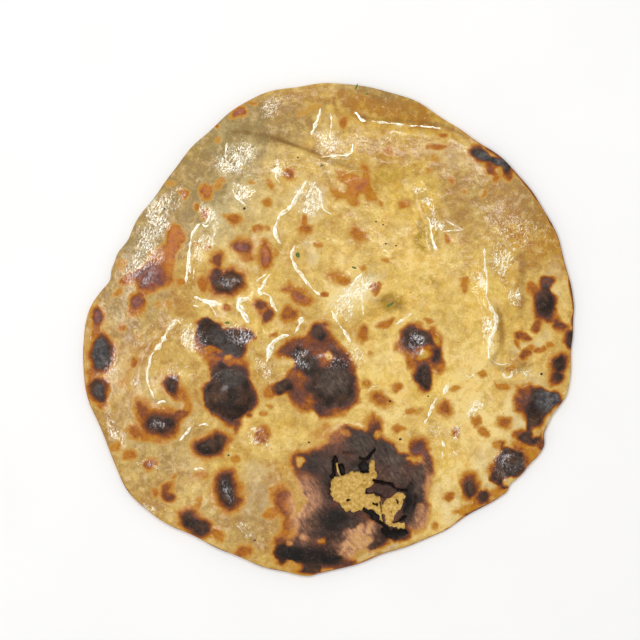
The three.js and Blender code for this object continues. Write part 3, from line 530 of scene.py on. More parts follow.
# Soft pale sheens, painted into the colour: place, half sizes, turn, amount
PAINTED_SHEENS = (
    ("left of the torn blister", (-31, -73), (13, 18), 0, 0.5), ("lower left", (-82, -28), (7, 20), 0, 0.3),
    ("left middle", (-66, -34), (8, 10), 0, 0.3), ("middle, upper", (-9, 60), (11, 14), 0, 0.8),
    ("middle", (-6, 33), (5, 8), 0, 0.7), ("middle left", (-48, 46), (10, 14), 0, 0.3),
    ("furrow, right", (-2, 88), (9, 8), 0, 0.4), ("right rim", (100, 20), (8, 14), 0, 0.5),
    ("arc", (90, -5), (10, 5), 10, 0.6), ("right rim, low", (90, -38), (14, 26), 0, 0.9),
    ("lower right rim", (74, -62), (14, 16), 0, 0.6), ("triangle", (11, 16), (10, 14), -28, 0.8),
    ("lower right", (52, -80), (7, 12), 20, 0.5), ("upper right", (50, 80), (12, 6), -10, 0.4),
    ("right of the patch", (20, -18), (6, 9), 0, 0.15), ("bottom", (26, -97), (20, 4), 22, 0.8),
    ("lower right corner", (62, -85), (12, 7), 30, 0.5),
)
# Khaki tint, and skin without oil: place, half sizes, turn, amount
KHAKI = (
    ("upper left", (-62, 66), (34, 54), -38, 1.0), ("left", (-88, 22), (22, 34), 0, 0.8),
    ("top", (-30, 90), (34, 18), 10, 0.8), ("upper middle left", (-40, 56), (26, 26), 0, 0.5),
    ("bottom left", (-40, -84), (32, 20), 0, 0.45), ("left rim", (-100, -20), (14, 40), 0, 0.3),
    ("lower left", (-76, -52), (28, 30), 0, 0.55), ("upper right", (56, 60), (30, 20), -20, 0.35),
    ("right rim", (90, 60), (14, 24), 30, 0.5), ("top rim", (24, 107), (30, 5), -10, 0.8),
)
MATTES = (
    ("top crescent", (30, 98), (52, 12), -12, 1.0), ("upper left rim", (-66, 80), (22, 50), -45, 0.8),
    ("right rim", (98, 20), (16, 60), 8, 0.8), ("lower left", (-80, -64), (30, 26), -40, 0.8),
    ("furrow", (-20, 88), (42, 18), 10, 1.0), ("upper left field", (-60, 58), (30, 42), -40, 0.8),
    ("bottom rim", (0, -104), (60, 10), 0, 0.6),
)
# Places where thin oil stands in tiny beads that glitter, and where glints are also painted into the
# colour: place, half sizes, turn, amount
GLITTERS = (
    ("left strip", (-76, 50), (7, 20), -35, 1.0), ("left edge", (-86, 30), (9, 13), -30, 0.9),
    ("upper left", (-42, 76), (14, 8), 35, 1.05), ("upper left, low", (-38, 60.4), (5.4, 4.2), 0, 1.0),
    ("beside the glinting spot", (-22, 68.6), (3.6, 4), 0, 1.0), ("middle", (-10, 60), (8, 11), 0, 1.1),
    ("middle left", (-52, 47), (6, 9), 0, 1.0), ("by the upper blister", (-55, 35), (6, 9), 10, 1.0),
    ("under the furrow", (-2, 85), (9, 9), 0, 0.7), ("on the blister", (-45, 21.4), (8, 3), 14, 1.2),
    ("left of the black pair", (-61, -6), (5.6, 11), 10, 1.1),
    ("below it", (-69, -17.4), (3.4, 3.4), 0, 0.8), ("by the left rim", (-96.6, -14), (3.4, 10), -8, 0.8),
    ("lower left rim", (-96, -44), (3.4, 12), 20, 0.8), ("left middle", (-89, -24), (3, 4), 0, 0.8),
    ("lower middle left", (-32, -49), (6.4, 5.6), 0, 0.9), ("right field", (75.6, 31), (7, 7), 0, 1.05),
    ("right dots", (86, -19.6), (7, 2.4), 0, 0.9), ("right field, low", (82.6, 17), (5, 6), 0, 1.1),
    ("upper right field", (82, 42), (16, 14), 0, 0.5), ("crease triangle", (49.6, 48), (6, 2.6), -20, 1.3),
    ("upper right line", (43, 52.6), (2.6, 7), 28, 1.3), ("its start", (40.6, 62.4), (2.4, 3), 0, 1.2),
    ("right edge", (98, 40), (4, 8), 10, 0.3), ("triangle", (10, 14), (8, 13), -30, 1.15),
    ("right lobe", (-40.2, -2.4), (5.4, 7), 0, 1.3), ("pair, lower", (-49.4, -21.6), (4.6, 5.4), 24, 0.3),
    ("right of the middle", (36, -6), (7, 7), 0, 1.3), ("central patch", (-12, -13), (6, 6), -30, 0.7),
    ("central patch, right", (4, -16), (10, 4.4), -14, 0.6),
    ("central patch, edge", (10.8, -13), (3, 9), 14, 0.9),
    ("central patch, arm", (-12.6, -5.6), (3, 3), 0, 0.9), ("patch, left", (-31, -18), (3.4, 8), 0, 0.8),
    ("lower right", (56, -45), (5, 5), 20, 1.15), ("lower right trail", (66, -34.6), (3.4, 7), -34, 1.3),
    ("lower right, left", (46, -46), (4, 5), 0, 0.7), ("lower right, low", (58, -55), (5, 4), 0, 0.6),
    ("right fold", (72, -2), (4, 9), 10, 1.1), ("fold, left", (64.6, 20), (3.6, 7), 0, 1.1),
    ("rough blister", (80.6, -58.6), (9, 8), 0, 0.75), ("bottom corner", (-82, -79), (6, 3), -40, 0.8),
    ("far left blister", (-78, -40), (4, 4), 0, 0.7), ("tall oval", (-46.6, -71), (3, 5), 0, 0.7),
    ("top", (-27, 101), (8, 4), 30, 0.6), ("crescent", (28, 86), (14, 3), 0, 0.5),
    ("under the crescent", (14, 86), (8, 6), 0, 0.4), ("left low field", (-84, -60), (5, 4), 0, 0.6),
    ("bottom left", (-34, -91), (8, 4), 0, 0.5), ("upper right", (58, 83), (6, 4), 0, 0.4),
)

# Outlines of the two ragged openings that show the crumb
WIDE_OPENING = (
    (0.7, -66.9), (2.2, -66.2), (4.3, -65.6), (7.4, -64.2), (9.9, -63.8), (13.0, -63.6), (16.9, -63.3),
    (17.7, -61.8), (17.9, -59.7), (19, -58.2), (20, -58.7), (20, -61.8), (21.2, -63.8), (21.5, -65.6),
    (20, -66.7), (19, -69), (17.7, -70.5), (15.9, -71), (16.4, -73.1), (20.7, -73.6), (22.8, -74.6),
    (23.4, -76.7), (23.5, -85.4), (22.8, -84.9), (21.3, -81.8), (19, -79.8), (17.2, -81.8), (16.6, -80.8),
    (15.3, -80.3), (13, -80.8), (10.4, -81.8), (8.9, -80.8), (6.4, -79.8), (4.8, -78.8), (4.8, -77.2),
    (2.7, -76.2), (0.7, -74.1), (0.2, -71), (0.4, -68.5),
)
NARROW_OPENING = (
    (24.1, -77.2), (26.4, -75.1), (29, -74.1), (30.8, -72.8), (33.6, -73.9), (33.3, -76.7), (32.3, -79.8),
    (30, -81.8), (29.2, -83.9), (28.4, -86.5), (31, -86.7), (33.6, -86.7), (33.6, -89.6), (29, -88.5),
    (25.1, -87.5), (24.5, -83.9), (24.1, -80.8),
)
# How far their edges stray: size of the hills, by how much (mm), seed
CRUMB_RAGGED = ((2.4, 0.6, 81), (1.0, 0.55, 82))
# Skin gives way to crumb between these distances from an edge (mm), in the relief and in the colour
TORN_EDGE = (-0.15, 0.25)
OPEN_EDGE = (-0.2, 0.2)
# Height of the crumb over the underside (mm), and its lumps: size, height, seed
CRUMB_LEVEL = 5.6
CRUMB_LUMPS = ((3.2, 0.4, 86), (1.2, 0.22, 87))
# Lip of skin round the openings: height, width, and how far outside the edge its top is (mm)
TORN_LIP = 0.5
TORN_LIP_REACH = 1.3
TORN_LIP_PLACE = 0.4
# Wrinkles of the torn skin, long slanting ones and broad ones: height (mm), size and seed
LONG_RISE, LONG_WRINKLES = 0.16, (1.5, 84)
WRINKLE_SLANT, WRINKLE_SQUEEZE = 0.5, 0.3
BROAD_RISE, BROAD_WRINKLES = 0.25, (3.4, 85)
# How far from the middle of the torn blister this relief reaches, and over what width it fades out (mm)
TORN_REACH = 34
TORN_FADE = 8
# Gaps and cracks under the torn skin, sunk and painted dark as their shadow: points in steps of their
# enlarged view, half width (mm), and depth as a part of the full depth
GAPS = (
    ("left of the strand", ((512, 464), (504, 590), (485, 629)), 1.15, 1.0),
    ("right of the strand", ((572, 522), (581, 561), (591, 600)), 1.25, 1.0),
    ("under the upper skin", ((746, 450), (804, 464), (853, 421), (896, 367)), 0.55, 1.0),
    ("its hollow", ((786, 505), (799, 571)), 1.7, 0.8),
    ("upper edge", ((590, 395), (650, 400), (720, 400)), 0.35, 0.6),
    ("lower wedge", ((795, 940), (850, 975), (920, 1040), (975, 1090)), 0.9, 1.0),
    ("lower wedge, wide", ((846, 966), (914, 1025)), 1.5, 1.0),
    ("crack", ((945, 870), (955, 960), (975, 1070), (990, 1110)), 0.3, 0.8),
    ("under the plate", ((880, 665), (960, 685), (1040, 700), (1100, 745), (1190, 760)), 0.6, 1.0),
    ("under the tongue", ((810, 745), (820, 785), (900, 785), (980, 830)), 0.35, 0.8),
    ("right", ((1240, 700), (1215, 800), (1210, 900), (1180, 960)), 1.3, 0.55),
    ("right, second", ((1270, 800), (1280, 880), (1250, 940)), 0.6, 0.5),
    ("foot", ((1060, 1065), (1120, 1050), (1180, 1010)), 0.6, 0.9),
    ("bottom", ((985, 1130), (1050, 1175), (1160, 1165)), 1.7, 0.8),
    ("bottom, low", ((1010, 1205), (1090, 1228)), 0.6, 0.5),
    ("left wall", ((470, 660), (460, 740), (475, 830)), 0.4, 0.5),
    ("above the plate", ((960, 600), (1000, 545), (1060, 520)), 0.3, 0.4),
    ("pore, tall", ((1100, 850), (1115, 890)), 0.4, 1.0), ("slit", ((630, 855), (660, 850)), 0.35, 1.0),
    ("pore", ((880, 885), (885, 895)), 0.4, 1.0), ("pore", ((910, 890), (915, 900)), 0.45, 1.0),
    ("pore", ((795, 668), (800, 672)), 0.3, 1.0), ("pore", ((1048, 962), (1052, 966)), 0.3, 1.0),
)
# Strands of crumb that cross the gaps: points in the same steps, half width (mm)
STRANDS = (
    ("upper left", ((528, 503), (543, 571), (567, 619)), 0.35),
    ("lower", ((880, 905), (925, 970), (962, 1045)), 0.3),
)
# Upper left corner of the enlarged view, and one of its steps (mm)
GAPS_CORNER = (-21.73, -36.06)
GAPS_STEP = 0.04716
# Full depth of a gap (mm), how far its width strays in hills of this size and seed, and its soft edge
GAP_DEPTH = 3.0
GAP_UNEVEN = 0.5
GAP_HILLS = (1.6, 88)
GAP_EDGE = (-0.25, 0.25)
STRAND_EDGE = (-0.15, 0.2)

# Browned areas that run on under the spots: name, browning, then the corner and the step (mm) of the
# enlarged view in which the outline was read, and its points in steps to the right and down
BROWN_OUTLINES = (
    ("left band", 0.48, (-106.8, 71.5), 0.0946, (
        (375, 255), (415, 258), (450, 300), (455, 335), (432, 350), (440, 378), (408, 400), (410, 470),
        (400, 530), (350, 560), (320, 590), (285, 605), (258, 600), (270, 650), (250, 690), (175, 705),
        (165, 680), (175, 640), (185, 600), (245, 580), (230, 555), (165, 545), (160, 520), (210, 490),
        (240, 470), (270, 430), (310, 390), (345, 350), (355, 310))),
    ("black pair", 0.50, (-66.5, 13.2), 0.04, (
        (200, 230), (330, 180), (420, 240), (480, 310), (560, 300), (700, 280), (760, 310), (850, 390),
        (800, 460), (720, 480), (690, 640), (750, 680), (770, 760), (780, 900), (850, 1010), (890, 1150),
        (860, 1230), (720, 1290), (670, 1360), (650, 1450), (610, 1530), (560, 1500), (570, 1420),
        (500, 1390), (400, 1360), (330, 1290), (260, 1210), (215, 1080), (230, 960), (310, 900), (290, 760),
        (240, 620), (170, 560), (150, 470), (140, 380), (150, 300))),
    ("right of the middle", 0.50, (25.31, 8.74), 0.02857, (
        (470, 210), (560, 260), (650, 320), (760, 300), (830, 370), (890, 500), (870, 600), (870, 720),
        (830, 820), (820, 900), (740, 930), (735, 1100), (720, 1230), (600, 1270), (500, 1260), (460, 1180),
        (430, 1020), (440, 920), (380, 870), (340, 760), (220, 680), (130, 580), (110, 480), (200, 340),
        (330, 250))),
    ("central patch", 0.56, (-35.17, 22.18), 0.05714, (
        (575, 300), (625, 330), (655, 405), (700, 475), (775, 520), (800, 580), (830, 650), (815, 720),
        (855, 780), (862, 870), (852, 960), (790, 985), (735, 1040), (660, 1085), (590, 1110), (530, 1075),
        (490, 1015), (450, 1065), (380, 1060), (330, 1010), (290, 960), (270, 905), (190, 905), (165, 850),
        (200, 800), (260, 745), (320, 690), (330, 620), (290, 600), (215, 605), (185, 560), (205, 510),
        (280, 455), (380, 440), (445, 435), (470, 375), (500, 325))),
    ("right rim, upper", 0.50, (74.59, 31.14), 0.04571, (
        (480, 135), (590, 180), (570, 270), (550, 310), (610, 400), (600, 520), (650, 600), (690, 690),
        (580, 680), (540, 620), (450, 620), (420, 680), (360, 680), (390, 620), (350, 560), (320, 480),
        (340, 340), (320, 300), (400, 260), (430, 200))),
    ("right rim, large", 0.56, (74.59, 31.14), 0.04571, (
        (180, 1240), (330, 1200), (460, 1225), (600, 1285), (665, 1380), (560, 1500), (490, 1560),
        (462, 1700), (430, 1790), (290, 1790), (200, 1734), (270, 1680), (290, 1590), (250, 1530),
        (165, 1450), (160, 1380), (200, 1330))),
    ("lower right, rough", 0.54, (56.7, -45), 0.03, (
        (720, 120), (740, 180), (700, 240), (850, 300), (960, 340), (1030, 420), (1020, 560), (980, 620),
        (880, 700), (720, 720), (740, 800), (640, 880), (560, 800), (450, 640), (460, 560), (560, 420),
        (620, 330), (640, 200), (600, 130))),
    ("upper right field", 0.38, (-3.81, 80.42), 0.02857, (
        (640, 200), (780, 180), (790, 330), (800, 450), (880, 640), (920, 780), (880, 860), (760, 820),
        (720, 700), (620, 690), (600, 880), (480, 900), (420, 850), (390, 760), (270, 770), (190, 700),
        (150, 560), (200, 620), (370, 640), (420, 540), (360, 500), (240, 470), (260, 350), (400, 320),
        (560, 350), (680, 400))),
    ("torn blister", 0.82, (-21.73, -36.06), 0.04716, (
        (400, 300), (440, 235), (480, 190), (560, 130), (640, 125), (720, 165), (790, 130), (850, 75),
        (920, 65), (965, 110), (968, 210), (1040, 265), (1110, 330), (1160, 410), (1220, 480), (1310, 510),
        (1345, 440), (1260, 400), (1215, 350), (1260, 300), (1350, 305), (1430, 385), (1440, 460),
        (1405, 580), (1405, 700), (1395, 810), (1425, 900), (1395, 990), (1300, 1080), (1190, 1180),
        (1080, 1235), (960, 1260), (950, 1330), (890, 1360), (850, 1330), (870, 1230), (880, 1160),
        (850, 1070), (780, 1040), (700, 1110), (630, 1180), (640, 1300), (600, 1370), (720, 1410),
        (640, 1470), (500, 1510), (300, 1560), (180, 1530), (110, 1480), (0, 1500), (-60, 1460),
        (-40, 1380), (20, 1330), (60, 1250), (130, 1180), (150, 1080), (100, 1000), (160, 920), (190, 840),
        (150, 750), (110, 640), (80, 520), (90, 440), (160, 385), (260, 395), (330, 370))),
)
# Browning grows by this much a millimetre inwards from such an outline
OUTLINE_GROWTH = 0.20
# Darker places inside the browned areas: place, half sizes, turn, what they add to the browning
DEEPER = (
    ("left band, core", (-79.8, 23.2), (9, 7.6), 20, 0.28),
    ("left band, lobe", (-86, 11.5), (4.4, 5), 0, 0.22),
    ("pair, upper left", (-54.6, -0.8), (8.4, 8), 0, 0.45),
    ("pair, band", (-48.6, -4.4), (13.4, 8.8), -47, 0.48),
    ("pair, right lobe", (-39.2, -1.8), (7, 5.4), -10, 0.48), ("its foot", (-41, -7.4), (5, 6.4), 0, 0.3),
    ("pair, neck", (-50, -19), (6, 6), 0, 0.3), ("pair, lower top", (-43.6, -21.6), (11, 8), 0, 0.45),
    ("pair, lower", (-44.4, -31.4), (15, 12.4), -12, 0.6),
    ("pair, lower left", (-53, -30.4), (6, 7), 0, 0.4),
    ("pair, left notch", (-55, -21), (4, 3.4), -30, -0.4),
    ("pair, drip", (-42.6, -42.6), (4, 5.4), -8, 0.2),
    ("right of the middle, left", (36.2, -4.4), (7.4, 6), -10, 0.44),
    ("its core", (42.6, -4.8), (5.8, 4.4), 0, 0.42), ("its foot", (47.2, -11.8), (4.2, 4.8), 0, 0.38),
    ("its middle", (41, -11.4), (4, 4), 0, 0.2), ("its stem", (42.6, -21.2), (4.8, 8), 4, 0.56),
    ("centre, top lobe", (-4.2, -0.8), (4.8, 4.8), 0, 0.34),
    ("centre, dark left", (-11.2, -14), (8.6, 7), -20, 0.44),
    ("centre, right band", (4.6, -13), (7, 6), -30, 0.24),
    ("centre, main", (1.2, -24.2), (11.4, 13), 0, 0.48),
    ("centre, left black", (-7, -25), (5.4, 10), 24, 0.3),
    ("centre, low right", (4.6, -32), (8.4, 5.6), 15, 0.24),
    ("centre, lower left", (-14.4, -28), (6, 10), 24, 0.17),
    ("centre, left arm", (-17, -8), (10, 6), 20, 0.18), ("centre, neck", (-2, -6.4), (9, 7), 0, 0.14),
    ("centre, right edge", (9, -22), (5, 11), 0, 0.1), ("centre, left lobe", (-21, -26), (6, 5), 0, 0.44),
    ("centre, bottom", (-2.6, -36.4), (7, 4.4), -14, 0.24),
    ("right rim, blister", (96.2, 11), (7, 8.6), 0, 0.52),
    ("right rim, lobe", (97.6, 20.8), (5.6, 5.6), 0, 0.26),
    ("right rim, large", (97.6, -31.6), (10.8, 8.8), -12, 0.46),
    ("its foot", (93, -37.6), (8, 6.6), -20, 0.36), ("its left", (87.6, -31), (6, 8), 0, 0.18),
    ("its stem", (92, -43.4), (6, 7.4), 0, 0.44),
    ("lower right, rough", (81.4, -59.4), (8.8, 8.2), 0, 0.52),
    ("its tail", (75.9, -67.4), (4.6, 7), 16, 0.44), ("its arm", (77.4, -51), (3.6, 5), 10, 0.2),
    ("torn, upper left", (-1, -48), (11, 6), 10, -0.24),
    ("torn, left flank", (-12, -75), (9, 14), 4, -0.28),
    ("upper right field", (12.4, 64.6), (5, 7), -25, 0.1), ("its right", (17, 64.2), (4, 5), 0, 0.1),
)
# They count in full from this browning on, and browning ends at the second
DEEPER_FULL_AT = 0.35
MOST_BROWNING = 1.05
# Skin of the torn blister, which has little oil: place, half sizes, turn, and the parts of them
# between which that ends
TORN_SKIN = ((8, -76), (42, 34), 10)
TORN_SKIN_FADE = (0.8, 1.1)
# Greyed charred skin, partly its own grey and partly a painted sheen on it: place, half sizes, turn, amount
ASHEN_AND_SHEEN = (
    ("inner", (10, -63), (17, 10), 0, 0.7), ("top band", (20, -53), (18, 8), -23, 1.3),
    ("plate", (30, -66), (10, 9), -5, 0.5), ("right flank", (41, -72), (8, 16), -5, 0.8),
    ("low dark", (3, -86), (14, 8), -5, 0.4), ("left arm", (-6, -60), (9, 6), 20, 0.5),
    ("right black", (35, -82), (6, 9), 0, 0.7), ("central patch", (2.4, -23.6), (9.4, 8), 10, 1.5),
)
# Reddish browning on flat skin, in the same terms
BLUSHES = (
    ("left band", (-69.5, 38), (8, 14), 8, 1.0), ("left band, core", (-79.8, 23), (9, 8), 20, 0.9),
    ("left band, lobe", (-86, 11.5), (5, 6), 0, 0.8), ("island", (-54.9, 60.7), (5, 6), 0, 0.9),
    ("reddish", (-65.2, 61.2), (4, 5), 0, 0.8), ("upper right field", (12, 65), (7, 9), -25, 0.7),
    ("rim, purple", (-40, 98), (8, 5), 14, 1.3), ("pair", (-45, -12), (12, 5), 0, 0.4),
    ("purple", (-39.4, 37.4), (6, 6), 0, 1.2), ("oval", (-29.2, 32.8), (5, 8), 6, 1.2),
    ("ridge spot", (-14, 15), (10, 6), -28, 0.7), ("rim, top", (-103.4, 6), (5, 6), 0, 1.2),
    ("left of the torn blister", (-21, -78), (10, 12), 0, 0.3), ("right lobe", (40.5, -54), (6, 6), 0, 0.9),
)
# Grey on the black blisters, partly the char's own grey and partly a painted sheen on it
SOOT_AND_SHEEN = (
    ("left rim", (-102.6, -10.4), (5.4, 9), 0, 1.2), ("left rim, lower", (-103, -28), (3.6, 5), 0, 0.6),
    ("right rim, large", (98, -31.8), (8, 7), -12, 1.2), ("black pair", (-46, -7), (11, 6), -45, 0.6),
    ("black pair, lower", (-44, -21.6), (8, 5), 0, 0.6), ("right rim, lobe", (97.8, 20.8), (3, 3), 0, 0.8),
    ("upper right rim", (72.6, 76), (10, 5), -30, 1.1),
)
# Blackened places of the torn blister, and painted shadow under its skin and along its edges
CHAR_AND_SHADOWS = (
    ("low dark", (1, -84), (13, 7), 0, 0.6), ("left arm", (-7, -59), (10, 6), 0, 0.35),
    ("its core", (3, -83.5), (6, 5), 0, 0.3), ("under the upper skin", (13.4, -61), (7, 4), 0, 0.7),
    ("right", (36.4, -79.4), (5.4, 9), 0, 0.7), ("bottom black", (26.7, -90.9), (9.6, 5), 0, 0.8),
    ("its tail", (20.3, -97.7), (4, 4.6), 0, 0.6), ("bottom left", (-19, -100.4), (8.6, 7), 0, 0.85),
    ("bottom", (-6, -101), (15, 6), 0, 0.85), ("low dark, foot", (2, -91.4), (8, 5), 0, 0.5),
    ("bottom, right", (3, -103.4), (7, 3.4), 0, 0.5), ("top band", (17, -50), (15, 7.6), -23, 0.25),
    ("upper left", (-7.6, -62), (5, 4.6), 0, 0.35), ("tongue", (23.4, -71.2), (7.6, 3.8), -12, 0.45),
    ("left edge of the crumb", (-1, -70), (4.4, 10), 0, 0.5),
    ("plate's edge", (33, -70.6), (6, 2.4), -20, 0.4),
)
# Thin rosy skin of the torn blister
ROSY = (
    ("left flank", (-9.5, -77), (11, 15), 4, 1.3), ("upper left", (1, -49), (12, 8), 0, 0.3),
    ("low right", (26, -88), (9, 7), -30, 0.6), ("plate", (28, -64.6), (10, 6), -12, 0.45),
    ("bottom", (12, -94), (15, 10), 24, 1.2), ("bottom, left", (-11, -94), (9, 4), 10, 0.7),
    ("right flank", (42, -68), (6, 13), -5, 0.6), ("right, low", (40, -84), (8, 8), 30, 0.9),
    ("left, low", (-12, -87), (8, 6), 0, 0.6),
)

# Herb flecks and burnt specks on the bread: place, half sizes, turn, rise
HERBS = (
    ((-14.1, 33.4), (0.9, 1.3), 20, 0.3), ((12.0, 108.4), (0.35, 1.9), -20, 0.25),
    ((16.8, 105.4), (0.6, 0.5), 0, 0.25), ((-3.4, 73.2), (0.9, 0.4), 30, 0.25),
    ((-45.9, 2.9), (1.2, 0.6), 10, 0.25), ((27.1, 11.0), (1.9, 0.6), 28, 0.25),
    ((11.0, 27.6), (1.1, 0.5), -20, 0.2),
)
SPECKS = (
    ((27.1, -32.0), (0.6, 0.5), 0, 0.25), ((94.8, -19.9), (0.6, 0.6), 0, 0.3),
    ((-45, -56.2), (0.5, 0.5), 0, 0.25), ((-33.4, -94.3), (0.7, 0.4), 20, 0.25),
    ((-9.2, -50.4), (0.6, 0.4), -30, 0.25), ((29.8, 37.4), (0.5, 0.4), 0, 0.2),
    ((25.3, 38.3), (0.5, 0.4), 0, 0.2), ((20.8, 48.2), (0.5, 0.35), 0, 0.2),
    ((24, 46.8), (0.4, 0.4), 0, 0.2), ((-37.9, 54), (0.6, 0.6), 0, 0.25), ((-73.7, 54), (0.6, 0.4), 0, 0.2),
    ((-14.1, 76.8), (0.5, 0.4), 0, 0.2), ((44.1, -29.8), (0.5, 0.4), 0, 0.2),
    ((31.6, -49.1), (0.6, 0.6), 0, 0.3),
)

# A fleck's sides and bands, and how uneven its outline is
PEBBLE_SIDES = 9
PEBBLE_BANDS = 4
PEBBLE_UNEVEN = 0.22

# Painted shade of the furrows reaches this far (mm), and tones level off before the darkest one
FURROW_REACH = 1.4
DARKEST_TONE = 1.7
# How far a crease's painted shade strays in width, its strength, how far that strays, and the size and seed
# of both hills
CREASE_UNEVEN, CREASE_HILLS = 0.4, (3, 43)
CREASE_STRENGTH, CREASE_FADING, CREASE_FADES = 0.75, 0.4, (6, 44)

# Random patterns of the materials: size (mm), detail, roughness and, where it has any, warp
CLOUDS = (22, 3, 0.55)
MOTTLES = (4.5, 4, 0.62, 0.4)
GRAIN = (0.95, 3, 0.7)
WARM_PATTERN = (8, 3, 0.6)
CREAM_PATTERN = (4, 3, 0.6)
SOAKED_PATTERN = (7, 3, 0.6)
OLIVE_PATTERN = (2.6, 4, 0.65)
FRECKLE_PATTERN = (2.3, 2, 0.5)
DOT_PATTERN = (1.15, 1, 0.5)
SHEEN_PATTERN = (5, 3, 0.6)
BLOTCHES = (4.2, 3, 0.6)
UNDERSIDE_SPOTS = (15, 3, 0.55)
FINE_GRAIN = (0.85, 2, 0.6)
RAGGED_PATTERN = (1.5, 4, 0.62, 0.5)
CHAR_PATTERN = (5.6, 4, 0.62, 0.5)
STREAKS = (1.3, 4, 0.65, 0.2)
SOOT_AND_SHEEN_PATTERN = (2.2, 4, 0.65)
GLINTS = (0.85, 2, 0.6, 0.3)
VEINS = (1.2, 2, 0.6, 0.3)
VEIN_BREAKS = (2.4, 2)
OIL_PATTERN = (1.3, 3, 0.6)
CRUMB_PATTERN = (1.6, 4, 0.7)
PORES = (0.9, 3, 0.6)
SKIN_PATTERN = (2.2, 3, 0.55)
BEADED_PATTERN = (5, 3, 0.6)
THIN_OIL_PATTERN = (12, 3, 0.6)
FLECK_PATTERN = (0.7, 2)
FLOOR_PATTERN = (60, 2)
# The middle of a random pattern
MIDDLE = 0.5

# Patterns that are turned or drawn out: degrees, times as long, and a shift that makes them others
WARM_PLACE = (20, 1, 0.3)
CREAM_PLACE = (0, 1, 1.3)
FRECKLE_PLACE = (0, 1, 0.7)
DOT_PLACE = (0, 1, 1.9)
STREAK_PLACE = (-55, 3.2)
GLINT_PLACE = (68, 1.8)
VEIN_PLACE = (-52, 1.8)
BEAD_PLACE = (70, 1.5)
# The shift is this many times as far along Y
SHIFT_Y = 1.7

# Dough: its even lightness, and what the tone with its painted light and shade, mottles and grain add
LIGHTNESS = 0.51
TONE_GAIN = 0.30
MOTTLE_GAIN = 1.7
GRAIN_GAIN = 0.85
# Where a pattern or field begins and ends to count, and what comes out there if not 0 and 1
KHAKI_MOTTLED = (-0.2, 0.2, 1.0, 0.6)
WARM_RANGE = (0.46, 0.68, 0.0, 0.65)
CREAM_RANGE = (0.52, 0.7, 0.0, 0.4)
SOAKED_RANGE = (0.3, 0.6, 0.2, 1.0)
OLIVE_RANGE = (0.38, 0.6)
FRECKLE_RANGE = (0.68, 0.76)
DOT_RANGE = (0.71, 0.77)
SHEEN_RANGE = (0.3, 0.6, 0.3, 1.0)
# How much of each colour comes over the dough at most, and what khaki takes from the warm tint
KHAKI_SHARE = 0.85
WARM_LOST_IN_KHAKI = -0.8
OLIVE_SHARE = 0.9
CREASE_SHADE_SHARE = 0.85
FRECKLE_SHARE = 0.5
DOT_SHARE = 0.6
SHEEN_SHARE = 0.6

# Browning: what ragged edges, blotches and fine grain add to it
RAGGED_GAIN = 0.36
BLOTCH_GAIN = 0.38
FINE_GAIN = 0.2
# Spots of the underside, from none to dark
UNDERSIDE_RANGE = (0.50, 0.74, UNBROWNED, 0.95)
# How far past its full level a spot looks flat
PLATEAU_RANGE = (0.0, 0.2)
# Between which two values of browning each colour comes in; that of flat skin goes out again
BROWN_RANGE = (-0.10, 0.30)
COOKED_RANGE = (0.2, 0.6)
FLAT_RANGE = (0.98, 0.86)
CHARRED_RANGE = (0.78, 0.98)
ROSY_RANGE = (0.14, 0.36)
ASHEN_AND_SHEEN_RANGE = (0.6, 0.8)
SOOT_AND_SHEEN_RANGE = (0.62, 0.84)
CHAR_AND_SHADOW_RANGE = (0.3, 0.6)
# How much of a colour comes over the one below it at most
FLAT_SHARE = 0.9
BLUSH_SHARE = 0.8
CHAR_SHARE = 0.85
# Streaks of the torn skin are made this much stronger round their middle
STREAK_GAIN, STREAK_SHIFT = 1.5, -0.25
# Lightness of rosy skin, and of ashen and sooty skin with their painted sheen: even part, then what
# streaks, blotches and browning add
ROSY_LIGHT, ROSY_STREAKS, ROSY_BLOTCHES, ROSY_BROWNING = 0.68, 0.7, 0.6, -0.8
ASHEN_AND_SHEEN_LIGHT, ASHEN_AND_SHEEN_STREAKS, ASHEN_AND_SHEEN_BLOTCHES = 0.225, 0.55, 0.6
SOOT_AND_SHEEN_BLOTCHES = 0.5

# Painted glints on oily skin, and painted pale glints along its veins: what the glitter field adds, and
# their edges
GLITTER_GAIN, SPARKLE_RANGE = 0.2, (0.70, 0.78)
VEIN_GAIN, VEIN_RANGE = -0.03, (0.012, -0.012)
VEIN_BREAK_RANGE = (0.4, 0.6)
# How strongly they show, and what cooked skin takes from that
SHINE, SHINE_LOST_COOKED = 0.8, -0.25
# Pale parts of the oil lines, partly the oil's own colour and partly a painted highlight
OIL_RANGE = (0.33, 0.55, 0.25, 0.95)
# Edges of the crumb and of its gaps
CRUMB_RAGGED_GAIN, CRUMB_RANGE = 0.5, (0.4, 0.6)
GAP_RANGE = (0.3, 0.7)
# Relief too fine for the mesh: the skin's against the pores', depths (mm), and strengths
SKIN_TO_PORES = 1.6
SKIN_DEPTH, SKIN_STRENGTH, WET_SMOOTHING = 0.2, 0.6, -0.5
CRUMB_DEPTH, CRUMB_STRENGTH = 0.35, 0.9
COAT_DEPTH, COAT_STRENGTH = 0.22, 0.8
# Beads of oil: how far apart and how high (mm), and where their pattern lets them stand
BEAD_SPACING = 1.05
BEAD_HEIGHT = 0.22
BEADED_RANGE = (0.36, 0.58)
# Weight of the clear coat: where oil is thin, where it is beaded, and what takes it away
THIN_OIL_RANGE = (0.35, 0.62, 0.05, 0.26)
BEADED_COAT = 0.95
UNDERSIDE_DRY = 0.8
TORN_DRY = 0.85
COOKED_DRY = 0.9
# Roughness of the coat, and its index
COAT_ROUGHNESS = 0.07
COAT_IOR = 1.85
# Roughness of the bread, what its fine relief adds, and roughness of flecks and floor
ROUGHNESS, ROUGHNESS_ADDED = 0.5, 0.2
FLECK_ROUGHNESS = 0.5
FLOOR_ROUGHNESS = 0.8
# Strength of reflections under the coat, and on the floor
SPECULAR = 0.2
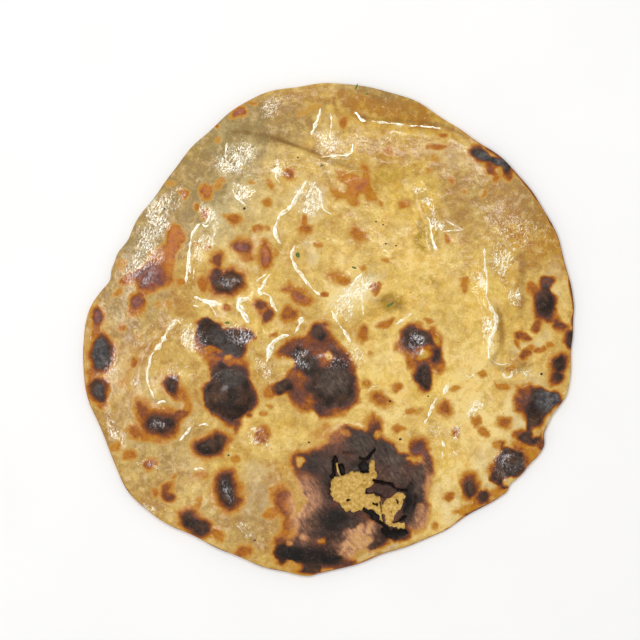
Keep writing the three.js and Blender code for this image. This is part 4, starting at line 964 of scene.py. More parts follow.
# Where the pattern of a fleck is dark, and where bright
FLECK_EDGES = (0.35, 0.65)

# Floor, in metres, and its greys
FLOOR_SIZE = 6.0
FLOOR_STOPS = ((0.3, (0.94, 0.94, 0.94, 1)), (0.7, (0.96, 0.96, 0.96, 1)))

# The photograph: its side, the bread's middle and its width, in pixels; the camera, in millimetres
PHOTO_PIXELS = 640
PHOTO_MIDDLE = (328.5, 329.5)
PHOTO_WIDTH_PIXELS = 491
CAMERA_LENS = 100.0
CAMERA_SENSOR = 36.0
# What the camera sees, from near to far (m)
CAMERA_REACH = (0.05, 20)

# Soft lamps in an arc round the upper left: distance (m), azimuths, degrees off the vertical, size (m)
# and watts
LIGHT_DISTANCE = 1.5
LAMP_AZIMUTHS = (52, 86, 118, 150, 184, 222)
LAMP_OFF = 20
LAMP_SIZE = 0.28
LAMP_POWER = 2.3
# The room is dark overhead, so that flat dark skin stays dark, and bright lower down
ROOM_COLOUR = (1.0, 0.99, 0.97, 1)
ROOM_BRIGHT = 0.62
ROOM_OVERHEAD = 0.12
BRIGHT_BELOW, DARK_ABOVE = 0.70, 0.96


def linear(red, green, blue):
    """A screen colour, 0 to 255, as the shader's linear colour."""
    def one(v):
        v /= 255
        return v / 12.92 if v <= 0.04045 else ((v + 0.055) / 1.055) ** 2.4
    return one(red), one(green), one(blue), 1.0


# Colours of the dough and of its browning, as seen in even light
DOUGH_STOPS = (
    (0.0, linear(172, 122, 52)),
    (0.24, linear(188, 146, 68)),
    (0.48, linear(204, 167, 86)),
    (0.74, linear(222, 187, 102)),
    (1.0, linear(240, 210, 134)),
)
SOAKED_TINT = (1.0, 0.94, 0.56, 1.0)
# Colour of the painted shade in creases
CREASE_SHADE_COLOUR = linear(128, 92, 38)
DOUGH_OLIVE = linear(164, 129, 22)
KHAKI_STOPS = (
    (0.0, linear(148, 128, 80)), (0.3, linear(173, 154, 104)), (0.6, linear(195, 176, 126)),
    (1.0, linear(220, 204, 160)),
)
BROWN_STOPS = (
    (0.0, linear(204, 162, 84)),
    (0.17, linear(197, 145, 60)),
    (0.33, linear(187, 123, 30)),
    (0.46, linear(164, 95, 24)),
    (0.58, linear(129, 69, 28)),
    (0.69, linear(110, 60, 31)),
    (0.80, linear(84, 51, 33)),
    (0.90, linear(57, 39, 29)),
    (1.0, linear(40, 31, 26)),
)
# Colours of a spot's flat middle, and of a reddish one
FLAT_STOPS = (
    (0.2, linear(196, 149, 52)), (0.35, linear(190, 129, 24)), (0.5, linear(179, 105, 14)),
    (0.62, linear(141, 75, 26)), (0.75, linear(100, 58, 46)), (0.88, linear(68, 48, 41)),
)
BLUSH_STOPS = (
    (0.35, linear(204, 132, 50)), (0.5, linear(190, 114, 60)), (0.64, linear(152, 90, 76)),
    (0.78, linear(108, 70, 72)), (0.9, linear(70, 52, 52)),
)
# Colours of char, of greyed and sooty skin with their painted sheen, of rosy skin, and of crumb, from dark
# to bright
CHAR_STOPS = (
    (0.30, linear(30, 19, 12)), (0.45, linear(48, 31, 20)), (0.58, linear(77, 52, 35)),
    (0.72, linear(110, 76, 50)),
)
ASHEN_AND_SHEEN_STOPS = ((0.30, linear(46, 36, 31)), (0.5, linear(76, 61, 52)), (0.7, linear(106, 87, 74)))
SOOT_AND_SHEEN_STOPS = ((0.30, linear(46, 43, 42)), (0.5, linear(76, 73, 72)), (0.7, linear(116, 111, 108)))
ROSY_STOPS = (
    (0.16, linear(74, 52, 40)), (0.34, linear(106, 74, 56)), (0.5, linear(146, 102, 76)),
    (0.68, linear(186, 134, 98)), (0.84, linear(214, 164, 112)),
)
CRUMB_STOPS = (
    (0.28, linear(160, 114, 46)), (0.42, linear(192, 150, 71)), (0.56, linear(213, 176, 95)),
    (0.7, linear(236, 206, 130)),
)
# Painted shadow in the gaps under the torn skin and in its shaded places
GAP_SHADOW_COLOUR = linear(24, 18, 15)
FRECKLE_COLOUR = linear(172, 110, 38)
DOT_COLOUR = linear(140, 96, 44)
WARM_TINT = (1.02, 0.9, 0.72, 1.0)
CREAMY = linear(236, 206, 156)
# Colour of the painted sheens
SHEEN_PALE = linear(232, 219, 178)
# Pale oil with painted glints, and painted glints along veins
OIL_PALE_AND_GLINT = linear(255, 248, 218)
VEIN_GLINT_PALE = linear(206, 192, 192)
# Flecks of herb and burnt specks, dark and bright
HERB_COLOURS = (linear(56, 80, 22), linear(108, 134, 42))
SPECK_COLOURS = (linear(26, 20, 14), linear(62, 44, 26))


def smoothstep(low, high, value):
    t = np.clip((np.asarray(value, float) - low) / (high - low), 0.0, 1.0)
    return t * t * (3.0 - 2.0 * t)


def hills(x, y, size, seed):
    """Smooth random hills and hollows about `size` across, from -1 to 1."""
    heights = np.random.default_rng(seed).uniform(-1.0, 1.0, (LATTICE, LATTICE))
    u, v = x / size + LATTICE / 2, y / size + LATTICE / 2
    i, j = np.floor(u).astype(int), np.floor(v).astype(int)
    fu, fv = smoothstep(0, 1, u - i), smoothstep(0, 1, v - j)
    i0, j0, i1, j1 = i % LATTICE, j % LATTICE, (i + 1) % LATTICE, (j + 1) % LATTICE
    low = heights[i0, j0] * (1 - fu) + heights[i1, j0] * fu
    high = heights[i0, j1] * (1 - fu) + heights[i1, j1] * fu
    return low * (1 - fv) + high * fv


def with_hills(height, x, y, rows):
    """A height with hills on it; each row has their size, their own height and a seed."""
    for size, rise, seed in rows:
        height = height + rise * hills(x, y, size, seed)
    return height


def strayed(x, y, rows):
    """Places moved at random; each row has the hills' size, how far they move, and seeds for x and y."""
    for size, stray, seed_x, seed_y in rows:
        x, y = x + stray * hills(x, y, size, seed_x), y + stray * hills(x, y, size, seed_y)
    return x, y


def turned(x, y, at, half, turn):
    """Place inside a turned oval, as parts of its half sizes."""
    c, s = math.cos(math.radians(turn)), math.sin(math.radians(turn))
    dx, dy = x - at[0], y - at[1]
    return (dx * c + dy * s) / half[0], (dy * c - dx * s) / half[1]


def dome(x, y, at, half, turn):
    """1 in the middle of an oval, 0 outside it, smooth between."""
    u, v = turned(x, y, at, half, turn)
    inside = np.clip(1 - u * u - v * v, 0, 1)
    return inside * inside * (3 - 2 * inside)


def oval_distance(x, y, at, half, turn):
    """About how far a point is outside an oval, negative inside."""
    u, v = turned(x, y, at, half, turn)
    reach = np.hypot(u, v)
    slope = np.hypot(u / half[0], v / half[1])
    return (reach - 1) * np.where(slope > TINY, reach / np.maximum(slope, TINY), min(half))


def line_distance(x, y, points):
    nearest = np.full(x.shape, np.inf)
    for (ax, ay), (bx, by) in zip(points, points[1:]):
        dx, dy = bx - ax, by - ay
        along = np.clip(((x - ax) * dx + (y - ay) * dy) / (dx * dx + dy * dy), 0, 1)
        nearest = np.minimum(nearest, np.hypot(x - ax - along * dx, y - ay - along * dy))
    return nearest


def smooth_line(points, steps=CURVE_STEPS):
    """Catmull-Rom curve through the points, as short steps."""
    p = np.array([points[0], *points, points[-1]], float)
    out = []
    for k in range(1, len(p) - 2):
        a, b, c, d = p[k - 1], p[k], p[k + 1], p[k + 2]
        for i in range(steps):
            t = i / steps
            out.append(0.5 * (2 * b + (c - a) * t + (2 * a - 5 * b + 4 * c - d) * t ** 2
                              + (3 * b - a - 3 * c + d) * t ** 3))
    return [tuple(q) for q in out] + [tuple(p[-1])]


def outline_distance(x, y, points):
    """How far a point is outside a closed outline, negative inside."""
    closed = [*points, points[0]]
    inside = np.zeros(x.shape, bool)
    for (ax, ay), (bx, by) in zip(closed, closed[1:]):
        crosses = (ay > y) != (by > y)
        edge = ax + (y - ay) * (bx - ax) / ((by - ay) or TINY)
        inside ^= crosses & (x < edge)
    gap = line_distance(x, y, closed)
    return np.where(inside, -gap, gap)


# Outline and body of the bread
def edge_radius(angle):
    azimuth = np.degrees(angle) % 360
    radius = np.full(np.shape(angle), BREAD_RADIUS)
    for _, start, full, until, stop, by in EDGE_SHAPES:
        past = np.where(azimuth + 360 < stop, azimuth + 360, azimuth)
        radius += by * smoothstep(start, full, past) * (1 - smoothstep(until, stop, past))
    for stray, waves, phase in EDGE_WAVES:
        radius += stray * np.sin(waves * angle + phase)
    return radius


def rest_corners():
    angles = np.radians(REST_AZIMUTHS)
    reach = REST_OUTWARD * edge_radius(angles)
    return list(zip(reach * np.cos(angles), reach * np.sin(angles)))


def rim_lift(x, y):
    """How far the underside is off the floor: not at all within the flat middle."""
    corners = rest_corners()
    away = np.full(np.shape(x), -np.inf)
    for (ax, ay), (bx, by) in zip(corners, corners[1:] + corners[:1]):
        beyond = ((x - ax) * (by - ay) - (y - ay) * (bx - ax)) / math.hypot(bx - ax, by - ay)
        away = np.maximum(away, beyond)
    left = 1 - np.clip(away / LIFT_REACH, 0, 1)
    return RIM_LIFT * (1 - left * left)


def underside_height(x, y, outward):
    pits = PIT_DEPTH * (1 + hills(x, y, *PITS)) * (1 - smoothstep(PITS_END, 1, outward))
    return rim_lift(x, y) + pits


def openings_distance(x, y):
    """How far a point is outside the torn openings, negative over the crumb."""
    gap = np.minimum(outline_distance(x, y, WIDE_OPENING), outline_distance(x, y, NARROW_OPENING))
    return with_hills(gap, x, y, CRUMB_RAGGED)


def strand_share(x, y):
    """1 on the thin strands of crumb that cross the gaps."""
    away = np.full(x.shape, np.inf)
    for _, points, half in STRANDS:
        line = smooth_line(read_points(GAPS_CORNER, GAPS_STEP, points))
        away = np.minimum(away, line_distance(x, y, line) - half)
    return 1 - smoothstep(*STRAND_EDGE, away)


def gap_depth(x, y):
    deep = np.zeros(x.shape)
    for _, points, half, share in GAPS:
        line = smooth_line(read_points(GAPS_CORNER, GAPS_STEP, points))
        away = line_distance(x, y, line) - half * (1 + GAP_UNEVEN * hills(x, y, *GAP_HILLS))
        deep = np.maximum(deep, share * (1 - smoothstep(*GAP_EDGE, away)))
    return deep * (1 - strand_share(x, y))


def near(x, y, at, reach):
    return np.hypot(x - at[0], y - at[1]) < reach


def torn_relief(x, y, height):
    """Crumb on the floor of the openings, a lip of skin round them, and the sunken gaps."""
    part = near(x, y, FINE_MIDDLE, TORN_REACH)
    px, py = x[part], y[part]
    gap = openings_distance(px, py)
    lip = TORN_LIP * np.exp(-((gap - TORN_LIP_PLACE) / TORN_LIP_REACH) ** 2)
    slanting = (px + WRINKLE_SLANT * py, (py - WRINKLE_SLANT * px) * WRINKLE_SQUEEZE)
    wrinkles = LONG_RISE * hills(*slanting, *LONG_WRINKLES) + BROAD_RISE * hills(px, py, *BROAD_WRINKLES)
    skin = height[part] + lip + wrinkles
    crumb = with_hills(CRUMB_LEVEL, px, py, CRUMB_LUMPS)
    made = crumb + (skin - crumb) * smoothstep(*TORN_EDGE, gap)
    made = made - GAP_DEPTH * gap_depth(px, py)
    height = height.copy()
    away = np.hypot(px - FINE_MIDDLE[0], py - FINE_MIDDLE[1])
    fade = 1 - smoothstep(TORN_REACH - TORN_FADE, TORN_REACH, away)
    height[part] = height[part] + (made - height[part]) * fade
    return height


def top_height(x, y, outward):
    """Height of the top over the underside."""
    height = RIM_THICKNESS + (CENTRE_THICKNESS - RIM_THICKNESS) * (1 - outward ** RIM_FALL_POWER)
    relief = np.zeros(x.shape)
    for _, at, half, turn, rise in (*SWELLS, *BLISTERS, *TORN_DOMES):
        relief += rise * dome(x, y, at, half, turn)
    for _, at, half, turn, level in SPOTS:
        relief += SPOT_RISE * level * dome(x, y, at, half, turn)
    for _, points, half, rise in FOLDS:
        away = line_distance(x, y, smooth_line(points))
        relief += rise * np.where(away < half, 0.5 + 0.5 * np.cos(np.pi * away / half), 0)
    relief = with_hills(relief, x, y, SKIN_HILLS)
    height = height + relief * (1 - RIM_RELIEF_LOSS * smoothstep(RIM_RELIEF_FROM, 1, outward))
    height = torn_relief(x, y, height)
    return np.maximum(height, LEAST_HEIGHT)


def outward_of(x, y):
    angle = np.arctan2(y, x)
    return angle, np.hypot(x, y) / edge_radius(angle)


def surface(x, y):
    """Height of the bread's top over the floor."""
    return rim_lift(x, y) + top_height(x, y, outward_of(x, y)[1])


# Mesh of the bread
def ring_layout(rings):
    """Rings of 6, 12, 18 and so on round a middle point: how far out each point is, and at which angle."""
    outward, angle = [np.zeros(1)], [np.zeros(1)]
    for ring in range(1, rings + 1):
        count = SECTORS * ring
        outward.append(np.full(count, ring / rings))
        angle.append(2 * np.pi * np.arange(count) / count)
    return np.concatenate(outward), np.concatenate(angle)


def ring_start(ring):
    return 0 if ring == 0 else 1 + SECTORS * ring * (ring - 1) // 2


def ring_faces(rings):
    """Triangles between all the rings, facing up."""
    faces = []
    for ring in range(rings):
        inner, outer = ring_start(ring), ring_start(ring + 1)
        n_in, n_out = max(1, SECTORS * ring), SECTORS * (ring + 1)
        sector = np.arange(SECTORS)[:, None]
        t = np.arange(ring + 1)[None, :]
        a = inner + (sector * ring + t) % n_in
        b = outer + (sector * (ring + 1) + t) % n_out
        c = outer + (sector * (ring + 1) + t + 1) % n_out
        faces.append(np.stack([a, b, c], -1).reshape(-1, 3))
        if ring:
            t = np.arange(ring)[None, :]
            a = inner + (sector * ring + t) % n_in
            b = outer + (sector * (ring + 1) + t + 1) % n_out
            c = inner + (sector * ring + t + 1) % n_in
            faces.append(np.stack([a, b, c], -1).reshape(-1, 3))
    return np.concatenate(faces)


def zip_faces(upper, upper_count, lower, lower_count):
    """Triangles of a wall between two rings that hold different numbers of points."""
    faces = []
    i = j = 0
    while i < upper_count or j < lower_count:
        if j < lower_count and (i >= upper_count or (j + 0.5) / lower_count <= (i + 0.5) / upper_count):
            faces.append((upper + i % upper_count, lower + j % lower_count, lower + (j + 1) % lower_count))
            j += 1
        else:
            faces.append((upper + i % upper_count, lower + j % lower_count, upper + (i + 1) % upper_count))
            i += 1
    return np.array(faces)


def draw_together(x, y, outward):
    """Moves points towards the torn blister, and none at the rim."""
    dx, dy = x - FINE_MIDDLE[0], y - FINE_MIDDLE[1]
    fade = 1 - outward ** FINE_FADE_POWER
    pull = FINE_PULL * np.exp(-(dx * dx + dy * dy) / FINE_REACH ** 2) * fade
    return x - dx * pull, y - dy * pull


def bread_points():
    """Points and triangles of the whole bread, in millimetres, and how many points its top has."""
    outward, angle = ring_layout(TOP_RINGS)
    radius = edge_radius(angle)
    reach = outward * radius
    drawn_in = reach * (1 - RIM_ROUNDING / radius * outward ** RIM_ROUNDING_POWER)
    reach = np.where(outward == 1, reach - RIM_ROUNDING, drawn_in)
    x, y = draw_together(reach * np.cos(angle), reach * np.sin(angle), outward)
    top = np.stack([x, y, surface(x, y)], 1)

    under_outward, under_angle = ring_layout(UNDER_RINGS)
    under_reach = under_outward * (edge_radius(under_angle) - RIM_ROUNDING)
    ux, uy = under_reach * np.cos(under_angle), under_reach * np.sin(under_angle)
    bottom = np.stack([ux, uy, underside_height(ux, uy, under_outward)], 1)

    rim_count = SECTORS * TOP_RINGS
    rim_angle = 2 * np.pi * np.arange(rim_count) / rim_count
    rim_radius = edge_radius(rim_angle)
    high = top[ring_start(TOP_RINGS):, 2]
    low = rim_lift(rim_radius * np.cos(rim_angle), rim_radius * np.sin(rim_angle))
    points, faces = [top], [ring_faces(TOP_RINGS)]
    before, count = ring_start(TOP_RINGS), len(top)
    for step in range(1, RIM_STEPS):
        bend = math.pi * step / RIM_STEPS
        ring_reach = rim_radius - RIM_ROUNDING * (1 - math.sin(bend))
        ring_height = (high + low) / 2 + (high - low) / 2 * math.cos(bend)
        ring = (ring_reach * np.cos(rim_angle), ring_reach * np.sin(rim_angle), ring_height)
        points.append(np.stack(ring, 1))
        faces.append(zip_faces(before, rim_count, count, rim_count))
        before, count = count, count + rim_count
    points.append(bottom)
    faces.append(zip_faces(before, rim_count, count + ring_start(UNDER_RINGS), SECTORS * UNDER_RINGS))
    faces.append(ring_faces(UNDER_RINGS)[:, ::-1] + count)
    return np.concatenate(points), np.concatenate(faces), count


def move_to_solid(points):
    """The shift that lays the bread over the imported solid, and the squeeze that keeps it as high."""
    middle = (points.min(0) + points.max(0)) / 2
    target = ((LOW[0] + HIGH[0]) / 2 / MM, (LOW[1] + HIGH[1]) / 2 / MM)
    shift = np.array([target[0] - middle[0], target[1] - middle[1], LOW[2] / MM - points[:, 2].min()])
    squeeze = min(1.0, TOP_MM / (points[:, 2].max() - points[:, 2].min()))
    return shift, squeeze


def moved(points, move):
    shift, squeeze = move
    out = points + shift
    out[:, 2] = LOW[2] / MM + (out[:, 2] - LOW[2] / MM) * squeeze
    return out


# Oil that stands along fine creases
def even_steps(line, step):
    """Points at even steps along a line."""
    line = np.array(line)
    along = np.concatenate([[0], np.cumsum(np.hypot(*np.diff(line, axis=0).T))])
    places = np.linspace(0, along[-1], max(LEAST_OIL_POINTS, round(along[-1] / step)))
    return np.interp(places, along, line[:, 0]), np.interp(places, along, line[:, 1]), places


def oil_strip(points, width):
    """A low smooth ridge along a line: its points, and its closed triangles."""
    x, y, along = even_steps(smooth_line(points, OIL_CURVE_STEPS), OIL_STEP)
    x, y = strayed(x, y, OIL_WOBBLES)
    dx, dy = np.gradient(x), np.gradient(y)
    length = np.hypot(dx, dy)
    ends = np.minimum(along, along[-1] - along) / OIL_END
    fullness = OIL_FULLNESS + OIL_UNEVEN * hills(x, y, *OIL_BULGES)
    half = width * fullness * np.sqrt(np.clip(ends, OIL_LEAST_END, 1))
    across = np.linspace(-1, 1, OIL_ACROSS)[:, None]
    px, py = x - dy / length * half * across, y + dx / length * half * across
    ground = surface(px.ravel(), py.ravel()).reshape(px.shape)
    top = ground + OIL_STEEPNESS * half * (1 - across ** 2) - OIL_SINK * across ** 4
    low = np.stack([px[[-1, 0]], py[[-1, 0]], ground[[-1, 0]] - OIL_DEPTH], -1)
    rings = np.concatenate([np.stack([px, py, top], -1), low]).transpose(1, 0, 2)
    count, around = rings.shape[0], rings.shape[1]
    faces = []
    for i in range(count - 1):
        for k in range(around):
            a, b = i * around + k, i * around + (k + 1) % around
            faces += [(a, a + around, b), (b, a + around, b + around)]
    last = (count - 1) * around
    faces += [(0, k, k + 1) for k in range(1, around - 1)]
    faces += [(last, last + k + 1, last + k) for k in range(1, around - 1)]
    return rings.reshape(-1, 3), np.array(faces)


def joined(parts):
    """Points and triangles of several meshes as one."""
    points, faces, count = [], [], 0
    for some_points, some_faces in parts:
        points.append(some_points)
        faces.append(some_faces + count)
        count += len(some_points)
    return np.concatenate(points), np.concatenate(faces)


def pebble(at, half, turn, rise, seed):
    """A small uneven lump that lies on the bread."""
    random = np.random.default_rng(seed)
    reach = 1 + random.uniform(-PEBBLE_UNEVEN, PEBBLE_UNEVEN, PEBBLE_SIDES)
    angle = 2 * np.pi * np.arange(PEBBLE_SIDES) / PEBBLE_SIDES
    ground = float(surface(np.array([float(at[0])]), np.array([float(at[1])]))[0])
    c, s = math.cos(math.radians(turn)), math.sin(math.radians(turn))
    points = [(at[0], at[1], ground + rise)]
    for band in range(1, PEBBLE_BANDS):
        bend = math.pi * band / PEBBLE_BANDS
        u = half[0] * math.sin(bend) * reach * np.cos(angle)
        v = half[1] * math.sin(bend) * reach * np.sin(angle)
        level = np.full(PEBBLE_SIDES, ground + rise * math.cos(bend))
        points += list(zip(at[0] + u * c - v * s, at[1] + u * s + v * c, level))
    points.append((at[0], at[1], ground - rise))
    faces = []
    bottom = len(points) - 1
    for k in range(PEBBLE_SIDES):
        after = (k + 1) % PEBBLE_SIDES
        faces.append((0, 1 + k, 1 + after))
        for band in range(PEBBLE_BANDS - 2):
            a, b = 1 + band * PEBBLE_SIDES, 1 + (band + 1) * PEBBLE_SIDES
            faces += [(a + k, b + k, a + after), (a + after, b + k, b + after)]
        low = 1 + (PEBBLE_BANDS - 2) * PEBBLE_SIDES
        faces.append((low + k, bottom, low + after))
    return np.array(points), np.array(faces)


# Fields that the material reads, one value a point
def read_points(corner, step, points):
    """Places in millimetres of points that lie some steps right of a corner and down from it."""
    return [(corner[0] + step * right, corner[1] - step * down) for right, down in points]


def run_together(first, second):
    """The larger of two values, with the step between them rounded off."""
    close = np.maximum(RUN_TOGETHER - np.abs(first - second), 0)
    return np.maximum(first, second) + close * close / (4 * RUN_TOGETHER)


def browning_field(x, y):
    """Browning, negative outside the spots, and how far past its full level a flat spot is."""
    sx, sy = strayed(x, y, STRAYS)
    browning, plateau = np.full(x.shape, UNBROWNED), np.zeros(x.shape)

    def add(level, grown):
        nonlocal browning, plateau
        value = np.minimum(level, grown)
        plateau = np.where(value > browning, grown - level + FLAT_BEFORE, plateau)
        browning = np.where(value > OUT_OF_REACH, run_together(browning, value), browning)

    for _, level, corner, step, points in BROWN_OUTLINES:
        outline = read_points(corner, step, points)
        add(level, OUTLINE_GROWTH * (REACH_PAST - outline_distance(sx, sy, outline)))
    for _, at, half, turn, level in SPOTS:
        large = np.clip((min(half) - LARGE_FROM) / LARGE_OVER, 0, 1)
        dark = np.clip((level - DARK_FROM) / DARK_OVER, 0, 1)
        growth = max(GROWTH, level / (FULL_AT * min(half)))
        past = REACH_PAST * min(1, min(half) / FULL_REACH_HALF) + DARK_REACH_PAST * large * dark
        add(level, growth * (past - oval_distance(sx, sy, at, half, turn)))
    deeper = sum_of_domes(sx, sy, DEEPER)
    browning = browning + smoothstep(0, DEEPER_FULL_AT, browning) * deeper
    browning = np.minimum(browning, MOST_BROWNING)
    for _, at, half, turn, level in WINDOWS:
        away = oval_distance(sx, sy, at, half, turn)
        most = level + WINDOW_GROWTH * np.maximum(0, away + WINDOW_SOFTNESS)
        paler = -run_together(-browning, -most)
        browning = np.where(away < WINDOW_REACH, paler, browning)
    return np.maximum(browning, rim_marks(x, y)), np.clip(plateau, 0, 1)


def rim_marks(x, y):
    angle, outward = outward_of(x, y)
    azimuth = np.degrees(angle) % 360
    inside = (1 - outward) * BREAD_RADIUS
    marks = np.full(x.shape, UNBROWNED)
    for start, stop, level, width in RIM_MARKS:
        turn = (azimuth - start) % 360
        along = smoothstep(0, MARK_ENDS, turn)
        along = along * (1 - smoothstep(stop - start - MARK_ENDS, stop - start, turn))
        uneven = width * (1 + MARK_UNEVEN * hills(x, y, *MARK_HILLS))
        strength = along * (1 - smoothstep(*MARK_FADE, inside / np.maximum(uneven, LEAST_MARK_WIDTH)))
        marks = np.maximum(marks, (level + MARK_OUTSIDE) * strength - MARK_OUTSIDE)
    return marks


def sum_of_domes(x, y, shapes):
    total = np.zeros(x.shape)
    for _, at, half, turn, amount in shapes:
        total += amount * dome(x, y, at, half, turn)
    return total


def held_down(tone_light_and_shade):
    """Dark tones level off before the darkest one, so that mottles still show in them."""
    return np.where(tone_light_and_shade < 0, DARKEST_TONE * np.tanh(tone_light_and_shade / DARKEST_TONE), tone_light_and_shade)


def fold_shade(x, y):
    """Painted shade in the furrows: darker along them."""
    shade = np.zeros(x.shape)
    for _, points, _, rise in FOLDS:
        away = line_distance(x, y, smooth_line(points))
        shade += min(0.0, rise) * np.exp(-(away / FURROW_REACH) ** 2)
    return shade


# Painted shade along the creases
def crease_shade_field(x, y):
    darkness = np.zeros(x.shape)
    for _, points, half, depth in SHADED_CREASES:
        width = half * (1 + CREASE_UNEVEN * hills(x, y, *CREASE_HILLS))
        line = depth * np.exp(-(line_distance(x, y, smooth_line(points)) / width) ** 2)
        strength = CREASE_STRENGTH + CREASE_FADING * hills(x, y, *CREASE_FADES)
        darkness = np.maximum(darkness, line * strength)
    return darkness


def crust_fields(points, is_top):
    """What the crust material reads at each point."""
    x, y = points[:, 0], points[:, 1]
    part = near(x, y, FINE_MIDDLE, TORN_REACH) & is_top
    crumb, gap = np.zeros(len(points)), np.zeros(len(points))
    open_share = 1 - smoothstep(*OPEN_EDGE, openings_distance(x[part], y[part]))
    crumb[part] = np.maximum(open_share, strand_share(x[part], y[part]))
    gap[part] = gap_depth(x[part], y[part])
    browning, plateau = browning_field(x, y)
    oily = strayed(x, y, OIL_STRAYS)
    return {
        "browning": np.where(is_top, browning, UNBROWNED),
        "plateau": np.where(is_top, plateau, 0),
        # Painted light and shade: broad tones on swells, valleys and the rim, and shade in the furrows
        "tone_light_and_shade": held_down(sum_of_domes(x, y, TONES_LIGHT_AND_SHADE) + fold_shade(x, y)),
        # Painted shade along the creases
        "crease": crease_shade_field(x, y),
        "yellow": sum_of_domes(x, y, YELLOWS),
        "olive": sum_of_domes(x, y, OLIVES),
        # Painted sheens
        "painted_sheen": sum_of_domes(*oily, PAINTED_SHEENS),
        "khaki": sum_of_domes(x, y, KHAKI),
        "matte": sum_of_domes(x, y, MATTES),
        # Greyed char, partly a painted sheen
        "ashen_and_sheen": sum_of_domes(x, y, ASHEN_AND_SHEEN),
        # Grey on black blisters, partly a painted sheen
        "soot_and_sheen": sum_of_domes(x, y, SOOT_AND_SHEEN),
        "blush": sum_of_domes(x, y, BLUSHES),
        # Blackened char and painted shadow of the torn blister
        "char_and_shadow": sum_of_domes(x, y, CHAR_AND_SHADOWS),
        "rosy": sum_of_domes(x, y, ROSY),
        "torn": 1 - smoothstep(*TORN_SKIN_FADE, np.hypot(*turned(x, y, *TORN_SKIN))),
        "glitter": np.where(is_top, sum_of_domes(*oily, GLITTERS), 0),
        "crumb": crumb,
        "gap": gap,
        "under": np.where(is_top, 0.0, 1.0),
    }


def new_piece(name, points, faces, material, fields=None):
    mesh = bpy.data.meshes.new(name)
    mesh.from_pydata((np.asarray(points, float) * MM).tolist(), [], np.asarray(faces).tolist())
    mesh.materials.append(material)
    mesh.polygons.foreach_set("use_smooth", [True] * len(mesh.polygons))
    for field, values in (fields or {}).items():
        layer = mesh.attributes.new(field, "FLOAT", "POINT")
        layer.data.foreach_set("value", np.asarray(values, np.float32))
    mesh.update()
    piece = bpy.data.objects.new(name, mesh)
    bpy.context.scene.collection.objects.link(piece)
    return piece


def lay_on_root(piece):
    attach(piece, "root")
    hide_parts("paratha")


def make_bread(material):
    """The bread itself; gives back the move that its other pieces share."""
    points, faces, top_count = bread_points()
    is_top = np.arange(len(points)) < top_count
    move = move_to_solid(points)
    fields = crust_fields(points, is_top) | {"wet": np.zeros(len(points))}
    lay_on_root(new_piece("bread", moved(points, move), faces, material, fields))
    return move


def make_oil_lines(material, move):
    points, faces = joined([oil_strip(points, width) for _, points, width in OIL_LINES])
    fields = crust_fields(points, np.ones(len(points), bool)) | {"wet": np.ones(len(points))}
    lay_on_root(new_piece("oil_lines", moved(points, move), faces, material, fields))


def make_flecks(name, flecks, material, move):
    pebbles = [pebble(at, half, turn, rise, n) for n, (at, half, turn, rise) in enumerate(flecks)]
    points, faces = joined(pebbles)
    lay_on_root(new_piece(name, moved(points, move), faces, material))


